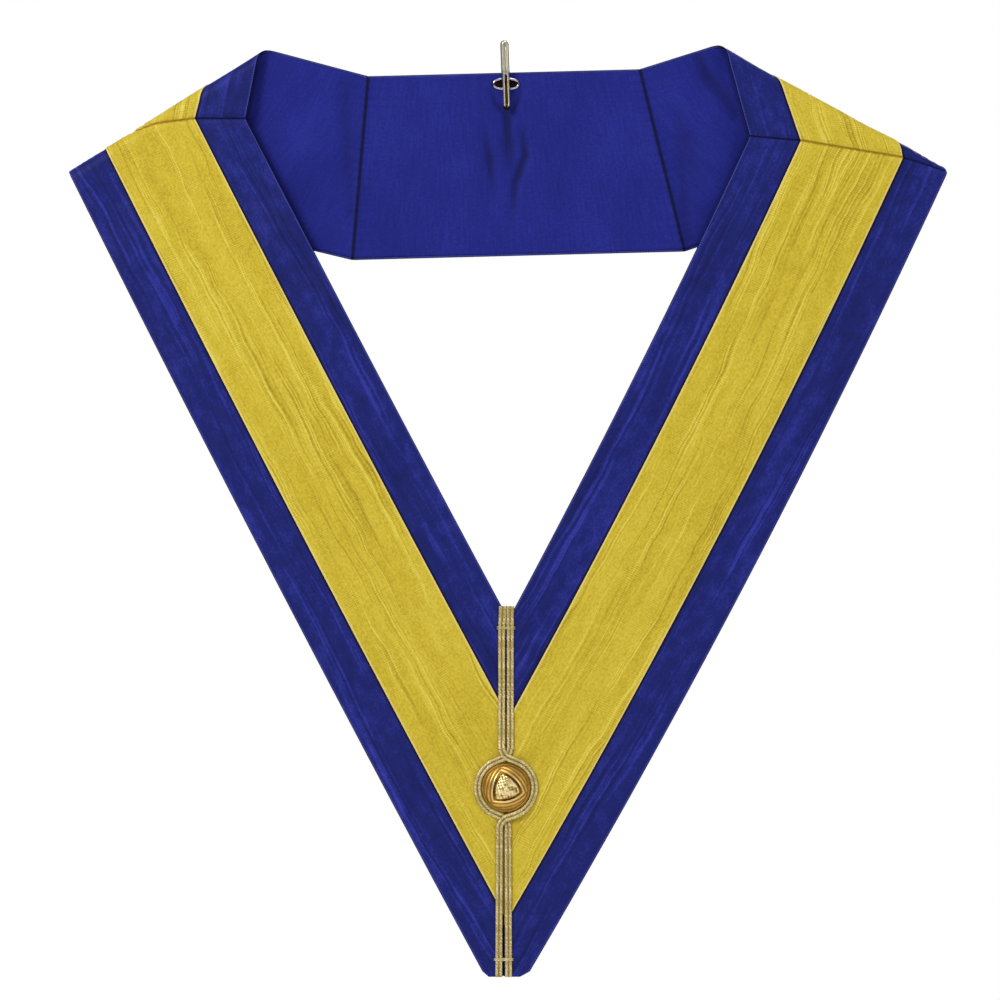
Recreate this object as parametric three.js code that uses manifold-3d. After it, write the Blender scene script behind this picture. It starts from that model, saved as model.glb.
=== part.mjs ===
// A ribbon collar of the kind worn in a lodge, as it hangs from the hook at the back of its neck.
// Millimetres, +Z up, +X to the right as the wearer's front is seen, -Y towards the viewer.
// The origin is the middle of the eyelet that it hangs by.

import * as THREE from "three";
import { mergeVertices } from "three/addons/utils/BufferGeometryUtils.js";
import Module from "manifold-3d";

const wasm = await Module();
wasm.setup();

// Ribbon and cloth
const RIBBON_WIDTH = 101.6; // the blue ribbon, four inches
const STRIPE_WIDTH = 52; // the yellow ribbon sewn along it
const STRIPE_INSET = 25.3; // from the neck edge of the blue ribbon to the yellow one
const SHELL = 1.2; // stiffened blue ribbon
const LINING = 1;
const STRIPE = 1;
const GAP = 0.3; // between pieces that touch
const SEAM_GAP = 0.6; // between the cut ends of two ribbons at a seam

// Neck band, which shows its lining
const BAND_LENGTH = 147; // along its upper edge
const BAND_HEIGHT = 99.4;
const BAND_TILT = 1.47; // degrees, the right end is the higher one
const EYELET_DROP = 6.2; // from the upper edge down to the eyelet

// Shoulders and fronts
const SHOULDER_LENGTH = 100.2; // along the neck edge, from the band seam over the fold to the front seam
const ROLL_RADIUS = 5; // of the soft fold over the shoulder
const NECK_DEPTH = 289.7; // from the eyelet down to the point of the neck opening
const TIP_DEPTH = 483.4; // from the eyelet down to the clipped tip
const MITRE_SHIFT = 1.4; // the mitre starts this far right of the eyelet and ends as far left of it
const TIP_WIDTH = 18.4; // flat bottom of the tip
const TIP_CLIP = 3; // height of its clipped corners
const FRONT_SLOPE = 0.017; // how far the fronts fall back for each millimetre that they hang
const FRONT_EASE = 90; // length over which they take up that slope
const FRONT_START = 70; // depth at which it begins

// Braid over the mitre
const BRAID_WIDTH = 3.8;
const BRAID_THICKNESS = 1.8;
const BRAID_GROOVE = 0.45; // depth of the groove between its two cores
const BRAID_START = 7; // height of its upper end above the point of the neck opening
const BRAID_GAP = 1.3; // between the two cords just below the button
const BRAID_SPREAD = 1.2; // how much more they part on their way down to the tip
const BRAID_SHIFT = 1.25; // how far the lower pair lies to the left of the mitre
const BRAID_RAMP = 12; // length over which a cord climbs onto the yellow ribbon
const BRAID_LEAD = 12; // how far from the yellow ribbon it has climbed to its height
const CROSSING_REACH = 5; // height above and below a crossing at which the upper cord lies fully raised
const CROSSING_RAMP = 7; // and over which it comes down again
const BUTTON_CLEARANCE = 0.4; // between the button and the loop of cord round it
const UPPER_CROSSING = 18; // from the middle of the button up to where the cords cross
const LOWER_CROSSING = 17; // and down to where they cross back

// Button
const BUTTON_DIAMETER = 26.4;
const BUTTON_RIM = 1.6; // thickness of the flat rim
const BUTTON_LEDGE = 1.2; // width of the flat rim
const BUTTON_HEIGHT = 6.2;
const BUTTON_DEPTH = 380.9; // from the eyelet down to its middle
const KNOT_WIRE = 1.4; // width of the raised strands of the knot
const KNOT_PROUD = 0.4; // how far they stand above the dome
const KNOT_CORNER = 9.5; // from the middle to a corner of the knot's triangle
const KNOT_SIDE = 6.9; // and to the middle of its bowed sides
const KNOT_STEP = 1.9; // from one strand to the next
const KNOT_TURN = 42; // degrees, the direction of the first side
const KNOT_FOLDS = 3;

// Metal fitting at the neck
const EYELET_LENGTH = 14.8;
const EYELET_HEIGHT = 6.4;
const EYELET_WIRE = 1.3;
const HOOK_LENGTH = 38;
const HOOK_TOP_DIAMETER = 4.8;
const HOOK_END_DIAMETER = 4;
const HOOK_BELOW = 14.6; // from the eyelet down to the bar's lower end
const HOOK_TILT = 2; // degrees, its top leans to the left
const POST_DIAMETER = 3;
const FOOT_DIAMETER = 9;
const FOOT_THICKNESS = 1.2;

// One row for each side: hand is the sign of X, reach the side's share of BAND_LENGTH, seamLean the
// angle of the band seam, turn the turn from band to shoulder, fold the share of SHOULDER_LENGTH
// behind the fold, slope the fall of the fold line, seamSlope that of the front seam, spread the
// ribbon's width on this side as a share, narrow the share that it loses up to the front seam, curl
// the bend of the front along its neck edge, pinch the border's width at the fold as a share of
// RIBBON_WIDTH. Angles are degrees.
const SIDES = [
  {
    name: "left", hand: -1, reach: 0.5075, seamLean: 6.45, turn: 16.3, fold: 0.603, slope: 32.1,
    seamSlope: 4, spread: 1.005, narrow: 0.034, curl: 1.25, pinch: 0.24,
  },
  {
    name: "right", hand: 1, reach: 0.4925, seamLean: 12.4, turn: 16, fold: 0.472, slope: 28.6,
    seamSlope: 8.5, spread: 1.023, narrow: -0.014, curl: 3.5, pinch: 0.218,
  },
];

// Creases of the neck band below the fitting: their ends as shares of BAND_LENGTH and BAND_HEIGHT
// from the eyelet, depth as a share of ROLL_RADIUS and width as a share of BAND_HEIGHT.
const CREASES = [
  { fromX: 0, fromZ: -0.24, toX: 0.02, toZ: -0.54, depth: 0.24, width: 0.05 },
  { fromX: -0.09, fromZ: -0.4, toX: -0.03, toZ: -0.72, depth: 0.16, width: 0.04 },
  { fromX: 0.08, fromZ: -0.4, toX: 0.035, toZ: -0.8, depth: 0.16, width: 0.04 },
];

// Mesh steps
const ROW_SPAN = 22; // longest row of a flat stretch
const ROLL_STEPS = 6;
const EDGE_STEPS = 7;
const FRONT_COLUMNS = 4;
const SHOULDER_COLUMNS = 4;
const STRIPE_COLUMNS = 2;
const BAND_COLUMNS = 20;
const STRIPE_ROWS = 4;
const BORDER_ROWS = 2;
const NEAREST_ROWS = 0.6;
const LATHE_SIDES = 24;
const ROD_SIDES = 12;
const WIRE_SIDES = 6;
const BRAID_STEPS = 84;
const LOOP_STEPS = 7;
const DOME_STEPS = 5;
const STRAND_STEPS = 6;
const STRAND_SIDES = 6;
const CAP_STEPS = 3;

// Faces of the cloth, measured from the middle of the blue ribbon towards its moire side
const RIBBON_FACE = SHELL / 2;
const RIBBON_BACK = -SHELL / 2;
const LINING_FACE = RIBBON_BACK - GAP;
const LINING_BACK = LINING_FACE - LINING;
const STRIPE_BACK = RIBBON_FACE + GAP;
const STRIPE_FACE = STRIPE_BACK + STRIPE;

const BLUE = 0x2a3490;
const LINING_BLUE = 0x252b80;
const YELLOW = 0xcdb842;
const GOLD_BRAID = 0xa99655;
const GILT = 0xc79a4b;
const NICKEL = 0xb9b8b2;
const CLOTH_ROUGHNESS = 0.7;
const METAL_ROUGHNESS = 0.25;

const radians = THREE.MathUtils.degToRad;
const plan = (out, up) => new THREE.Vector2(out, up);
const heading = (angle) => plan(Math.cos(angle), Math.sin(angle));

// The value between low and high at which a falling function passes zero.
function zeroOf(falling, low, high) {
  const HALVINGS = 50;
  for (let i = 0; i < HALVINGS; i++) {
    const middle = (low + high) / 2;
    if (falling(middle) > 0) low = middle;
    else high = middle;
  }
  return (low + high) / 2;
}

// Closed solids

function signedVolume(points, triangles) {
  let total = 0;
  for (const [a, b, c] of triangles) {
    total += points[a].dot(points[b].clone().cross(points[c]));
  }
  return total;
}

function solidGeometry(points, triangles) {
  const inward = signedVolume(points, triangles) < 0;
  const geometry = new THREE.BufferGeometry().setFromPoints(points);
  geometry.setIndex(triangles.flatMap(([a, b, c]) => (inward ? [a, c, b] : [a, b, c])));
  geometry.computeVertexNormals();
  return geometry;
}

// A slab between two lifts over rows of plan points. A row of one point is a corner.
function slab(rows, place, lowLift, highLift) {
  const points = [];
  const layers = [lowLift, highLift].map((lift) =>
    rows.map((row) => row.map((spot) => points.push(place(spot, lift)) - 1)),
  );
  const columns = Math.max(...rows.map((row) => row.length)) - 1;
  const at = (layer, row, column) => layers[layer][row][Math.min(column, rows[row].length - 1)];
  const triangles = [];
  const quad = (a, b, c, d) => {
    for (const corners of [[a, b, c], [a, c, d]]) {
      if (new Set(corners).size === corners.length) triangles.push(corners);
    }
  };
  for (let row = 0; row < rows.length - 1; row++) {
    for (let column = 0; column < columns; column++) {
      const next = column + 1;
      quad(at(0, row, column), at(0, row, next), at(0, row + 1, next), at(0, row + 1, column));
      quad(at(1, row, column), at(1, row + 1, column), at(1, row + 1, next), at(1, row, next));
    }
    quad(at(0, row + 1, 0), at(1, row + 1, 0), at(1, row, 0), at(0, row, 0));
    quad(at(0, row, columns), at(1, row, columns), at(1, row + 1, columns), at(0, row + 1, columns));
  }
  const last = rows.length - 1;
  for (let column = 0; column < columns; column++) {
    const next = column + 1;
    quad(at(0, 0, column), at(1, 0, column), at(1, 0, next), at(0, 0, next));
    quad(at(0, last, next), at(1, last, next), at(1, last, column), at(0, last, column));
  }
  return solidGeometry(points, triangles);
}

function toManifold(geometry) {
  const bare = geometry.clone();
  bare.deleteAttribute("normal");
  bare.deleteAttribute("uv");
  const closed = mergeVertices(bare);
  return new wasm.Manifold(
    new wasm.Mesh({
      numProp: 3,
      vertProperties: new Float32Array(closed.attributes.position.array),
      triVerts: new Uint32Array(closed.index.array),
    }),
  );
}

function toGeometry(solid) {
  const mesh = solid.getMesh();
  const geometry = new THREE.BufferGeometry();
  geometry.setAttribute("position", new THREE.BufferAttribute(new Float32Array(mesh.vertProperties), 3));
  geometry.setIndex(new THREE.BufferAttribute(new Uint32Array(mesh.triVerts), 1));
  geometry.computeVertexNormals();
  return geometry;
}

// Layout of one side, in a plan that is mirrored so that the first coordinate grows outwards

function layoutOf(side) {
  const tilt = side.hand * radians(BAND_TILT);
  const reach = side.reach * BAND_LENGTH;
  const bandTop = heading(tilt).multiplyScalar(reach).add(plan(0, EYELET_DROP));
  const seamAngle = tilt + radians(side.seamLean) - Math.PI / 2;
  const bandFoot = heading(seamAngle)
    .multiplyScalar(BAND_HEIGHT / Math.cos(radians(side.seamLean)))
    .add(bandTop);
  const backAngle = tilt + radians(side.turn);
  const foldPoint = heading(backAngle).multiplyScalar(side.fold * SHOULDER_LENGTH).add(bandTop);
  const slope = radians(side.slope);
  const foldRun = heading(-slope);
  const foldNormal = heading(Math.PI / 2 - slope);
  const frontAngle = -2 * slope - backAngle;
  const seamInner = heading(frontAngle)
    .multiplyScalar((1 - side.fold) * SHOULDER_LENGTH)
    .add(foldPoint);

  const width = RIBBON_WIDTH * side.spread;
  const neckPoint = plan(side.hand * MITRE_SHIFT, -NECK_DEPTH);
  const chord = seamInner.distanceTo(neckPoint);
  const chordLean = Math.atan2(seamInner.x - neckPoint.x, seamInner.y - neckPoint.y);
  const curl = radians(side.curl);
  const bend = curl / chord;
  const neckEdge = (chord * curl) / 2 / Math.sin(curl / 2);
  const lean = (along) => chordLean + bend * (along - neckEdge / 2);

  // The front ribbon bends a little in its own plane: a point at a length and a width of it.
  const frontSpot = (along, across) => {
    const turn = lean(along);
    const inset = across * (1 - side.narrow * (1 - along / neckEdge));
    return plan(
      seamInner.x - (Math.cos(lean(0)) - Math.cos(turn)) / bend + inset * Math.cos(turn),
      seamInner.y - (Math.sin(turn) - Math.sin(lean(0))) / bend - inset * Math.sin(turn),
    );
  };

  const seamRun = heading(-radians(side.seamSlope));
  const aboveSeam = (spot) => seamRun.cross(spot.clone().sub(seamInner));
  const seamSpot = (across, above) => {
    const along = zeroOf((value) => aboveSeam(frontSpot(value, across)) - above, -width, width);
    return { along, spot: frontSpot(along, across) };
  };
  const height = (spot) => foldNormal.dot(spot.clone().sub(foldPoint));
  const turned = (spot) => spot.clone().addScaledVector(foldNormal, -2 * height(spot));
  return {
    ...side, width, bandTop, bandFoot, foldPoint, foldRun, foldNormal, frontSpot, seamSpot, height, turned,
  };
}

const layouts = SIDES.map(layoutOf);

// Where the mitre lies at a height.
const mitreAt = (up) =>
  THREE.MathUtils.mapLinear(-up, NECK_DEPTH, TIP_DEPTH, MITRE_SHIFT, -MITRE_SHIFT);

// How far the fronts have fallen back at a height.
function fallBack(up) {
  const hung = -FRONT_START - up;
  if (hung <= 0) return 0;
  if (hung < FRONT_EASE) return (FRONT_SLOPE * hung * hung) / (2 * FRONT_EASE);
  return FRONT_SLOPE * (hung - FRONT_EASE / 2);
}

const frontMiddle = (up) => fallBack(up) - 2 * ROLL_RADIUS;

// Folds the flat plan over the shoulder: front layer, roll, then back layer.
function folder(layout) {
  return (spot, lift) => {
    const past = layout.height(spot) + (Math.PI * ROLL_RADIUS) / 2;
    const rollEnd = Math.PI * ROLL_RADIUS;
    if (past <= 0) {
      return new THREE.Vector3(layout.hand * spot.x, frontMiddle(spot.y) - lift, spot.y);
    }
    const angle = Math.min(past, rollEnd) / ROLL_RADIUS;
    const beyond = Math.max(past - rollEnd, 0);
    const radius = ROLL_RADIUS + lift;
    const flat = spot.clone().addScaledVector(layout.foldNormal, radius * Math.sin(angle) - past - beyond);
    return new THREE.Vector3(layout.hand * flat.x, -ROLL_RADIUS - radius * Math.cos(angle), flat.y);
  };
}

// Rows parallel to the fold across an outline, close together where it rolls over.
function foldRows(layout, outline, columns) {
  const heights = outline.map(layout.height);
  const top = Math.max(...heights);
  const bottom = Math.min(...heights);
  const rollHalf = (Math.PI * ROLL_RADIUS) / 2;
  const marks = [...heights];
  for (let i = 0; i <= ROLL_STEPS; i++) {
    marks.push(rollHalf * ((2 * i) / ROLL_STEPS - 1));
  }
  const inside = marks.filter((mark) => mark > bottom + NEAREST_ROWS && mark < top - NEAREST_ROWS);
  const wanted = [...inside.sort((a, b) => b - a), bottom];
  const levels = [top];
  for (const mark of wanted) {
    const previous = levels[levels.length - 1];
    if (mark !== bottom && previous - mark < NEAREST_ROWS) continue;
    const parts = Math.ceil((previous - mark) / ROW_SPAN);
    for (let i = 1; i < parts; i++) {
      levels.push(THREE.MathUtils.lerp(previous, mark, i / parts));
    }
    levels.push(mark);
  }
  return levels.map((level) => {
    const crossings = [];
    outline.forEach((from, i) => {
      const to = outline[(i + 1) % outline.length];
      const [low, high] = [layout.height(from) - level, layout.height(to) - level];
      if (low === 0) crossings.push(from);
      if (low * high < 0) crossings.push(from.clone().lerp(to, low / (low - high)));
    });
    crossings.sort((a, b) => layout.foldRun.dot(a) - layout.foldRun.dot(b));
    const start = crossings[0];
    const end = crossings[crossings.length - 1];
    if (start.distanceTo(end) < GAP) return [start.clone().lerp(end, 1 / 2)];
    return Array.from({ length: columns + 1 }, (_, i) => start.clone().lerp(end, i / columns));
  });
}

// Outlines on the flat plan

// The front ribbon between two widths, from its seam to the mitre and the clipped tip.
function frontOutline(layout, inner, outer) {
  const { frontSpot } = layout;
  const mitre = (up) => layout.hand * mitreAt(up) + GAP / 2;
  const clipTop = TIP_CLIP - TIP_DEPTH;
  const edge = (across) => {
    const start = layout.seamSpot(across, -SEAM_GAP / 2).along;
    const left = (along) => {
      const spot = frontSpot(along, across);
      return Math.min(spot.x - mitre(spot.y), spot.y - clipTop);
    };
    const end = zeroOf(left, start, start + 2 * TIP_DEPTH);
    return Array.from({ length: EDGE_STEPS + 1 }, (_, i) =>
      frontSpot(THREE.MathUtils.lerp(start, end, i / EDGE_STEPS), across),
    );
  };
  const outerEdge = edge(outer);
  const tipMiddle = mitre(-TIP_DEPTH);
  const reachesTip = outerEdge[EDGE_STEPS].x > tipMiddle + TIP_WIDTH / 2;
  const tip = reachesTip ? [plan(tipMiddle, -TIP_DEPTH), plan(tipMiddle + TIP_WIDTH / 2, -TIP_DEPTH)] : [];
  return [...edge(inner), ...tip, ...outerEdge.reverse()];
}

// The shoulder ribbon from the front seam to the band seam, between two shares of its width.
function shoulderOutline(layout, innerShare, outerShare) {
  const bandSpot = (share) => {
    const inset = layout.bandTop.clone().sub(layout.bandFoot).normalize();
    const outward = plan(-inset.y, inset.x).multiplyScalar(-GAP / 2);
    if (outward.x < 0) outward.negate();
    return layout.turned(layout.bandTop.clone().lerp(layout.bandFoot, share).add(outward));
  };
  const seamSpot = (share) => layout.seamSpot(share * layout.width, SEAM_GAP / 2).spot;
  const borderAtFold = layout.pinch * RIBBON_WIDTH;
  const foldSpot = () => {
    const edgeRun = layout.turned(layout.bandTop).sub(layout.foldPoint).normalize();
    const across = plan(-edgeRun.y, edgeRun.x);
    if (across.x < 0) across.negate();
    return layout.foldPoint.clone().addScaledVector(across, borderAtFold);
  };
  const innerEdge = innerShare > 0 ? [seamSpot(innerShare), foldSpot(), bandSpot(innerShare)]
    : [seamSpot(0), bandSpot(0)];
  return [...innerEdge, bandSpot(outerShare), seamSpot(outerShare)];
}

// The pieces

const group = new THREE.Group();

function addPiece(name, geometry, color, roughness, metalness) {
  const material = new THREE.MeshStandardMaterial({ color, roughness, metalness });
  const mesh = new THREE.Mesh(geometry, material);
  mesh.name = name;
  group.add(mesh);
  return mesh;
}

const addCloth = (name, geometry, color) => addPiece(name, geometry, color, CLOTH_ROUGHNESS, 0);
const addMetal = (name, geometry, color) => addPiece(name, geometry, color, METAL_ROUGHNESS, 1);

const stripeInner = STRIPE_INSET / RIBBON_WIDTH;
const stripeOuter = (STRIPE_INSET + STRIPE_WIDTH) / RIBBON_WIDTH;

for (const layout of layouts) {
  const place = folder(layout);
  const front = foldRows(layout, frontOutline(layout, 0, layout.width), FRONT_COLUMNS);
  const frontStripe = foldRows(
    layout,
    frontOutline(layout, stripeInner * layout.width, stripeOuter * layout.width),
    STRIPE_COLUMNS,
  );
  const shoulder = foldRows(layout, shoulderOutline(layout, 0, 1), SHOULDER_COLUMNS);
  const shoulderStripe = foldRows(
    layout,
    shoulderOutline(layout, stripeInner, stripeOuter),
    STRIPE_COLUMNS,
  );
  addCloth(layout.name + "_front", slab(front, place, LINING_BACK, RIBBON_FACE), BLUE);
  addCloth(layout.name + "_front_stripe", slab(frontStripe, place, STRIPE_BACK, STRIPE_FACE), YELLOW);
  addCloth(layout.name + "_shoulder", slab(shoulder, place, RIBBON_BACK, RIBBON_FACE), BLUE);
  addCloth(
    layout.name + "_shoulder_lining",
    slab(shoulder, place, LINING_BACK, LINING_FACE),
    LINING_BLUE,
  );
  addCloth(
    layout.name + "_shoulder_stripe",
    slab(shoulderStripe, place, STRIPE_BACK, STRIPE_FACE),
    YELLOW,
  );
}

// The neck band

// Its rows lie at shares of its height: the border, the yellow ribbon and the other border.
const stretch = (from, to, rowCount) =>
  Array.from({ length: rowCount }, (_, row) => THREE.MathUtils.lerp(from, to, (row + 1) / rowCount));
const stripeShares = [stripeInner, ...stretch(stripeInner, stripeOuter, STRIPE_ROWS)];
const bandShares = [
  0,
  ...stretch(0, stripeInner, BORDER_ROWS),
  ...stretch(stripeInner, stripeOuter, STRIPE_ROWS),
  ...stretch(stripeOuter, 1, BORDER_ROWS),
];

function bandRows(shares) {
  const end = (layout, share) => {
    const spot = layout.bandTop.clone().lerp(layout.bandFoot, share);
    return plan(layout.hand * (spot.x - GAP / 2), spot.y);
  };
  return shares.map((share) => {
    const [left, right] = layouts.map((layout) => end(layout, share));
    return Array.from({ length: BAND_COLUMNS + 1 }, (_, column) =>
      left.clone().lerp(right, column / BAND_COLUMNS),
    );
  });
}

function creaseDepth(spot) {
  let depth = 0;
  for (const crease of CREASES) {
    const from = plan(crease.fromX * BAND_LENGTH, crease.fromZ * BAND_HEIGHT);
    const run = plan(crease.toX * BAND_LENGTH, crease.toZ * BAND_HEIGHT).sub(from);
    const share = THREE.MathUtils.clamp(spot.clone().sub(from).dot(run) / run.lengthSq(), 0, 1);
    const away = spot.distanceTo(from.addScaledVector(run, share)) / (crease.width * BAND_HEIGHT);
    depth += crease.depth * ROLL_RADIUS * Math.exp(-away * away);
  }
  return depth;
}

const bandPlace = (spot, lift) => new THREE.Vector3(spot.x, creaseDepth(spot) + lift, spot.y);

// A rod along Y between two depths.
function rodAlongY(diameter, front, back) {
  const rod = new THREE.CylinderGeometry(diameter / 2, diameter / 2, back - front, ROD_SIDES);
  return rod.translate(0, (front + back) / 2, 0);
}

const postHole = toManifold(
  rodAlongY(POST_DIAMETER + 2 * GAP, LINING_BACK - ROLL_RADIUS, RIBBON_FACE + ROLL_RADIUS),
);
const withPostHole = (geometry) => toGeometry(toManifold(geometry).subtract(postHole));

const band = bandRows(bandShares);
addCloth("neck_band", withPostHole(slab(band, bandPlace, RIBBON_BACK, RIBBON_FACE)), BLUE);
addCloth("neck_band_lining", withPostHole(slab(band, bandPlace, LINING_BACK, LINING_FACE)), LINING_BLUE);
const bandStripe = slab(bandRows(stripeShares), bandPlace, STRIPE_BACK, STRIPE_FACE);
addCloth("neck_band_stripe", bandStripe, YELLOW);

// The metal fitting

const eyeletDepth = LINING_BACK - GAP - EYELET_WIRE / 2;

// An oval ring of round wire, lying against the lining.
function eyeletGeometry() {
  const ring = Array.from({ length: LATHE_SIDES }, (_, i) => (2 * Math.PI * i) / LATHE_SIDES);
  const section = Array.from({ length: WIRE_SIDES }, (_, i) => (2 * Math.PI * i) / WIRE_SIDES);
  const radius = EYELET_WIRE / 2;
  const points = ring.flatMap((turn) => {
    const middle = plan(
      (EYELET_LENGTH / 2 - radius) * Math.cos(turn),
      (EYELET_HEIGHT / 2 - radius) * Math.sin(turn),
    );
    const outward = plan(Math.cos(turn) * EYELET_HEIGHT, Math.sin(turn) * EYELET_LENGTH).normalize();
    return section.map((angle) => {
      const spot = middle.clone().addScaledVector(outward, radius * Math.cos(angle));
      return new THREE.Vector3(spot.x, eyeletDepth + radius * Math.sin(angle), spot.y);
    });
  });
  const at = (i, j) => (i % LATHE_SIDES) * WIRE_SIDES + (j % WIRE_SIDES);
  const triangles = ring.flatMap((_, i) =>
    section.flatMap((_, j) => [
      [at(i, j), at(i + 1, j), at(i + 1, j + 1)],
      [at(i, j), at(i + 1, j + 1), at(i, j + 1)],
    ]),
  );
  return solidGeometry(points, triangles);
}

addMetal("eyelet", eyeletGeometry(), NICKEL);

// The bar in front of the eyelet, with its post through the band and its foot behind it.
function hookGeometry() {
  const top = HOOK_TOP_DIAMETER / 2;
  const end = HOOK_END_DIAMETER / 2;
  const cap = (radius, level, from, to) =>
    Array.from({ length: CAP_STEPS + 1 }, (_, i) => {
      const angle = THREE.MathUtils.lerp(from, to, i / CAP_STEPS);
      return plan(radius * Math.cos(angle), level + radius * Math.sin(angle));
    });
  const profile = [
    ...cap(end, end, -Math.PI / 2, 0),
    ...cap(top, HOOK_LENGTH - top, 0, Math.PI / 2),
  ];
  profile[0].x = 0;
  profile[profile.length - 1].x = 0;
  const axisDepth = eyeletDepth - EYELET_WIRE / 2 - GAP - top;
  const bar = new THREE.LatheGeometry(profile, ROD_SIDES)
    .rotateX(Math.PI / 2)
    .translate(0, 0, -HOOK_BELOW)
    .rotateY(-radians(HOOK_TILT))
    .translate(0, axisDepth, 0);
  const footFront = RIBBON_FACE + GAP;
  const post = rodAlongY(POST_DIAMETER, axisDepth, footFront + FOOT_THICKNESS / 2);
  const foot = rodAlongY(FOOT_DIAMETER, footFront, footFront + FOOT_THICKNESS);
  return toGeometry(toManifold(bar).add(toManifold(post)).add(toManifold(foot)));
}

addMetal("neck_hook", hookGeometry(), NICKEL);

// The braid over the mitre. Heights are worked out from where the yellow ribbon crosses the mitre.

const mitreDepth = (share) =>
  layouts.map((layout) => {
    const spotAt = (along) => layout.frontSpot(along, share * layout.width);
    const left = (along) => spotAt(along).x - layout.hand * mitreAt(spotAt(along).y);
    return -spotAt(zeroOf(left, 0, 2 * TIP_DEPTH)).y;
  });
const stripeTop = Math.min(...mitreDepth(stripeInner));
const stripeEnd = Math.max(...mitreDepth(stripeOuter));
const ease = (share) => THREE.MathUtils.smoothstep(share, 0, 1);

// How far the cloth under the braid stands proud of the blue ribbon at a depth.
function clothLift(depth) {
  const past = Math.min(depth - stripeTop, stripeEnd - depth) + BRAID_LEAD;
  return RIBBON_FACE + GAP + (STRIPE + GAP) * ease(past / BRAID_RAMP + 1);
}

const upperCrossing = BUTTON_DEPTH - UPPER_CROSSING;
const lowerCrossing = BUTTON_DEPTH + LOWER_CROSSING;
const loopRadius = BUTTON_DIAMETER / 2 + BUTTON_CLEARANCE + BRAID_WIDTH / 2;

// The way of one cord over the cloth. It starts on one side, goes round the other side of the button
// and ends on the side that it started from.
function braidPath(hand) {
  const apart = (BRAID_WIDTH + GAP) / 2;
  const lowApart = (BRAID_WIDTH + BRAID_GAP) / 2;
  const tipApart = lowApart + BRAID_SPREAD / 2;
  const turnIn = Math.acos(Math.min(loopRadius / UPPER_CROSSING, 1));
  const turnOut = Math.acos(Math.min(loopRadius / LOWER_CROSSING, 1));
  const loop = Array.from({ length: LOOP_STEPS + 1 }, (_, i) => {
    const angle = THREE.MathUtils.lerp(turnIn, Math.PI - turnOut, i / LOOP_STEPS);
    return [-hand * loopRadius * Math.sin(angle), BUTTON_DEPTH - loopRadius * Math.cos(angle)];
  });
  const bendRoom = apart + BRAID_WIDTH / 2;
  const route = [
    [hand * apart, NECK_DEPTH - BRAID_START],
    [hand * apart, (NECK_DEPTH + upperCrossing) / 2],
    [hand * apart, upperCrossing - bendRoom],
    [0, upperCrossing],
    ...loop,
    [-BRAID_SHIFT / 2, lowerCrossing],
    [hand * lowApart - BRAID_SHIFT, lowerCrossing + bendRoom],
    [hand * ((lowApart + tipApart) / 2) - BRAID_SHIFT, (lowerCrossing + TIP_DEPTH) / 2],
    [hand * tipApart - BRAID_SHIFT, TIP_DEPTH],
  ];
  const flat = new THREE.CatmullRomCurve3(route.map(([x, depth]) => new THREE.Vector3(x, 0, -depth)));
  const raised = flat.getSpacedPoints(BRAID_STEPS).map((point) => {
    const away = Math.min(Math.abs(-point.z - upperCrossing), Math.abs(-point.z - lowerCrossing));
    const crossing = ease(1 - (away - CROSSING_REACH) / CROSSING_RAMP);
    const over = hand < 0 ? (BRAID_THICKNESS + GAP) * crossing : 0;
    const lift = clothLift(-point.z) + over + BRAID_THICKNESS / 2;
    return point.setY(frontMiddle(point.z) - lift);
  });
  return new THREE.CatmullRomCurve3(raised);
}

// Two cores side by side, with a groove between them on both faces.
function braidSection() {
  const [side, face] = [BRAID_WIDTH / 2, BRAID_THICKNESS / 2];
  const groove = face - BRAID_GROOVE;
  return new THREE.Shape([
    plan(-side, 0),
    plan(-side / 2, -face),
    plan(0, -groove),
    plan(side / 2, -face),
    plan(side, 0),
    plan(side / 2, face),
    plan(0, groove),
    plan(-side / 2, face),
  ]);
}

for (const [name, hand] of [["braid_over", -1], ["braid_under", 1]]) {
  const cord = new THREE.ExtrudeGeometry(braidSection(), {
    steps: BRAID_STEPS,
    extrudePath: braidPath(hand),
    bevelEnabled: false,
  });
  addCloth(name, cord, GOLD_BRAID);
}

// The button, a dome with a raised three-sided knot

const domeBase = BUTTON_DIAMETER / 2 - BUTTON_LEDGE;
const domeRise = BUTTON_HEIGHT - BUTTON_RIM;
const domeRadius = (domeBase * domeBase + domeRise * domeRise) / (2 * domeRise);
const domeHeight = (radius) =>
  BUTTON_HEIGHT - domeRadius + Math.sqrt(domeRadius * domeRadius - radius * radius);

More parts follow.
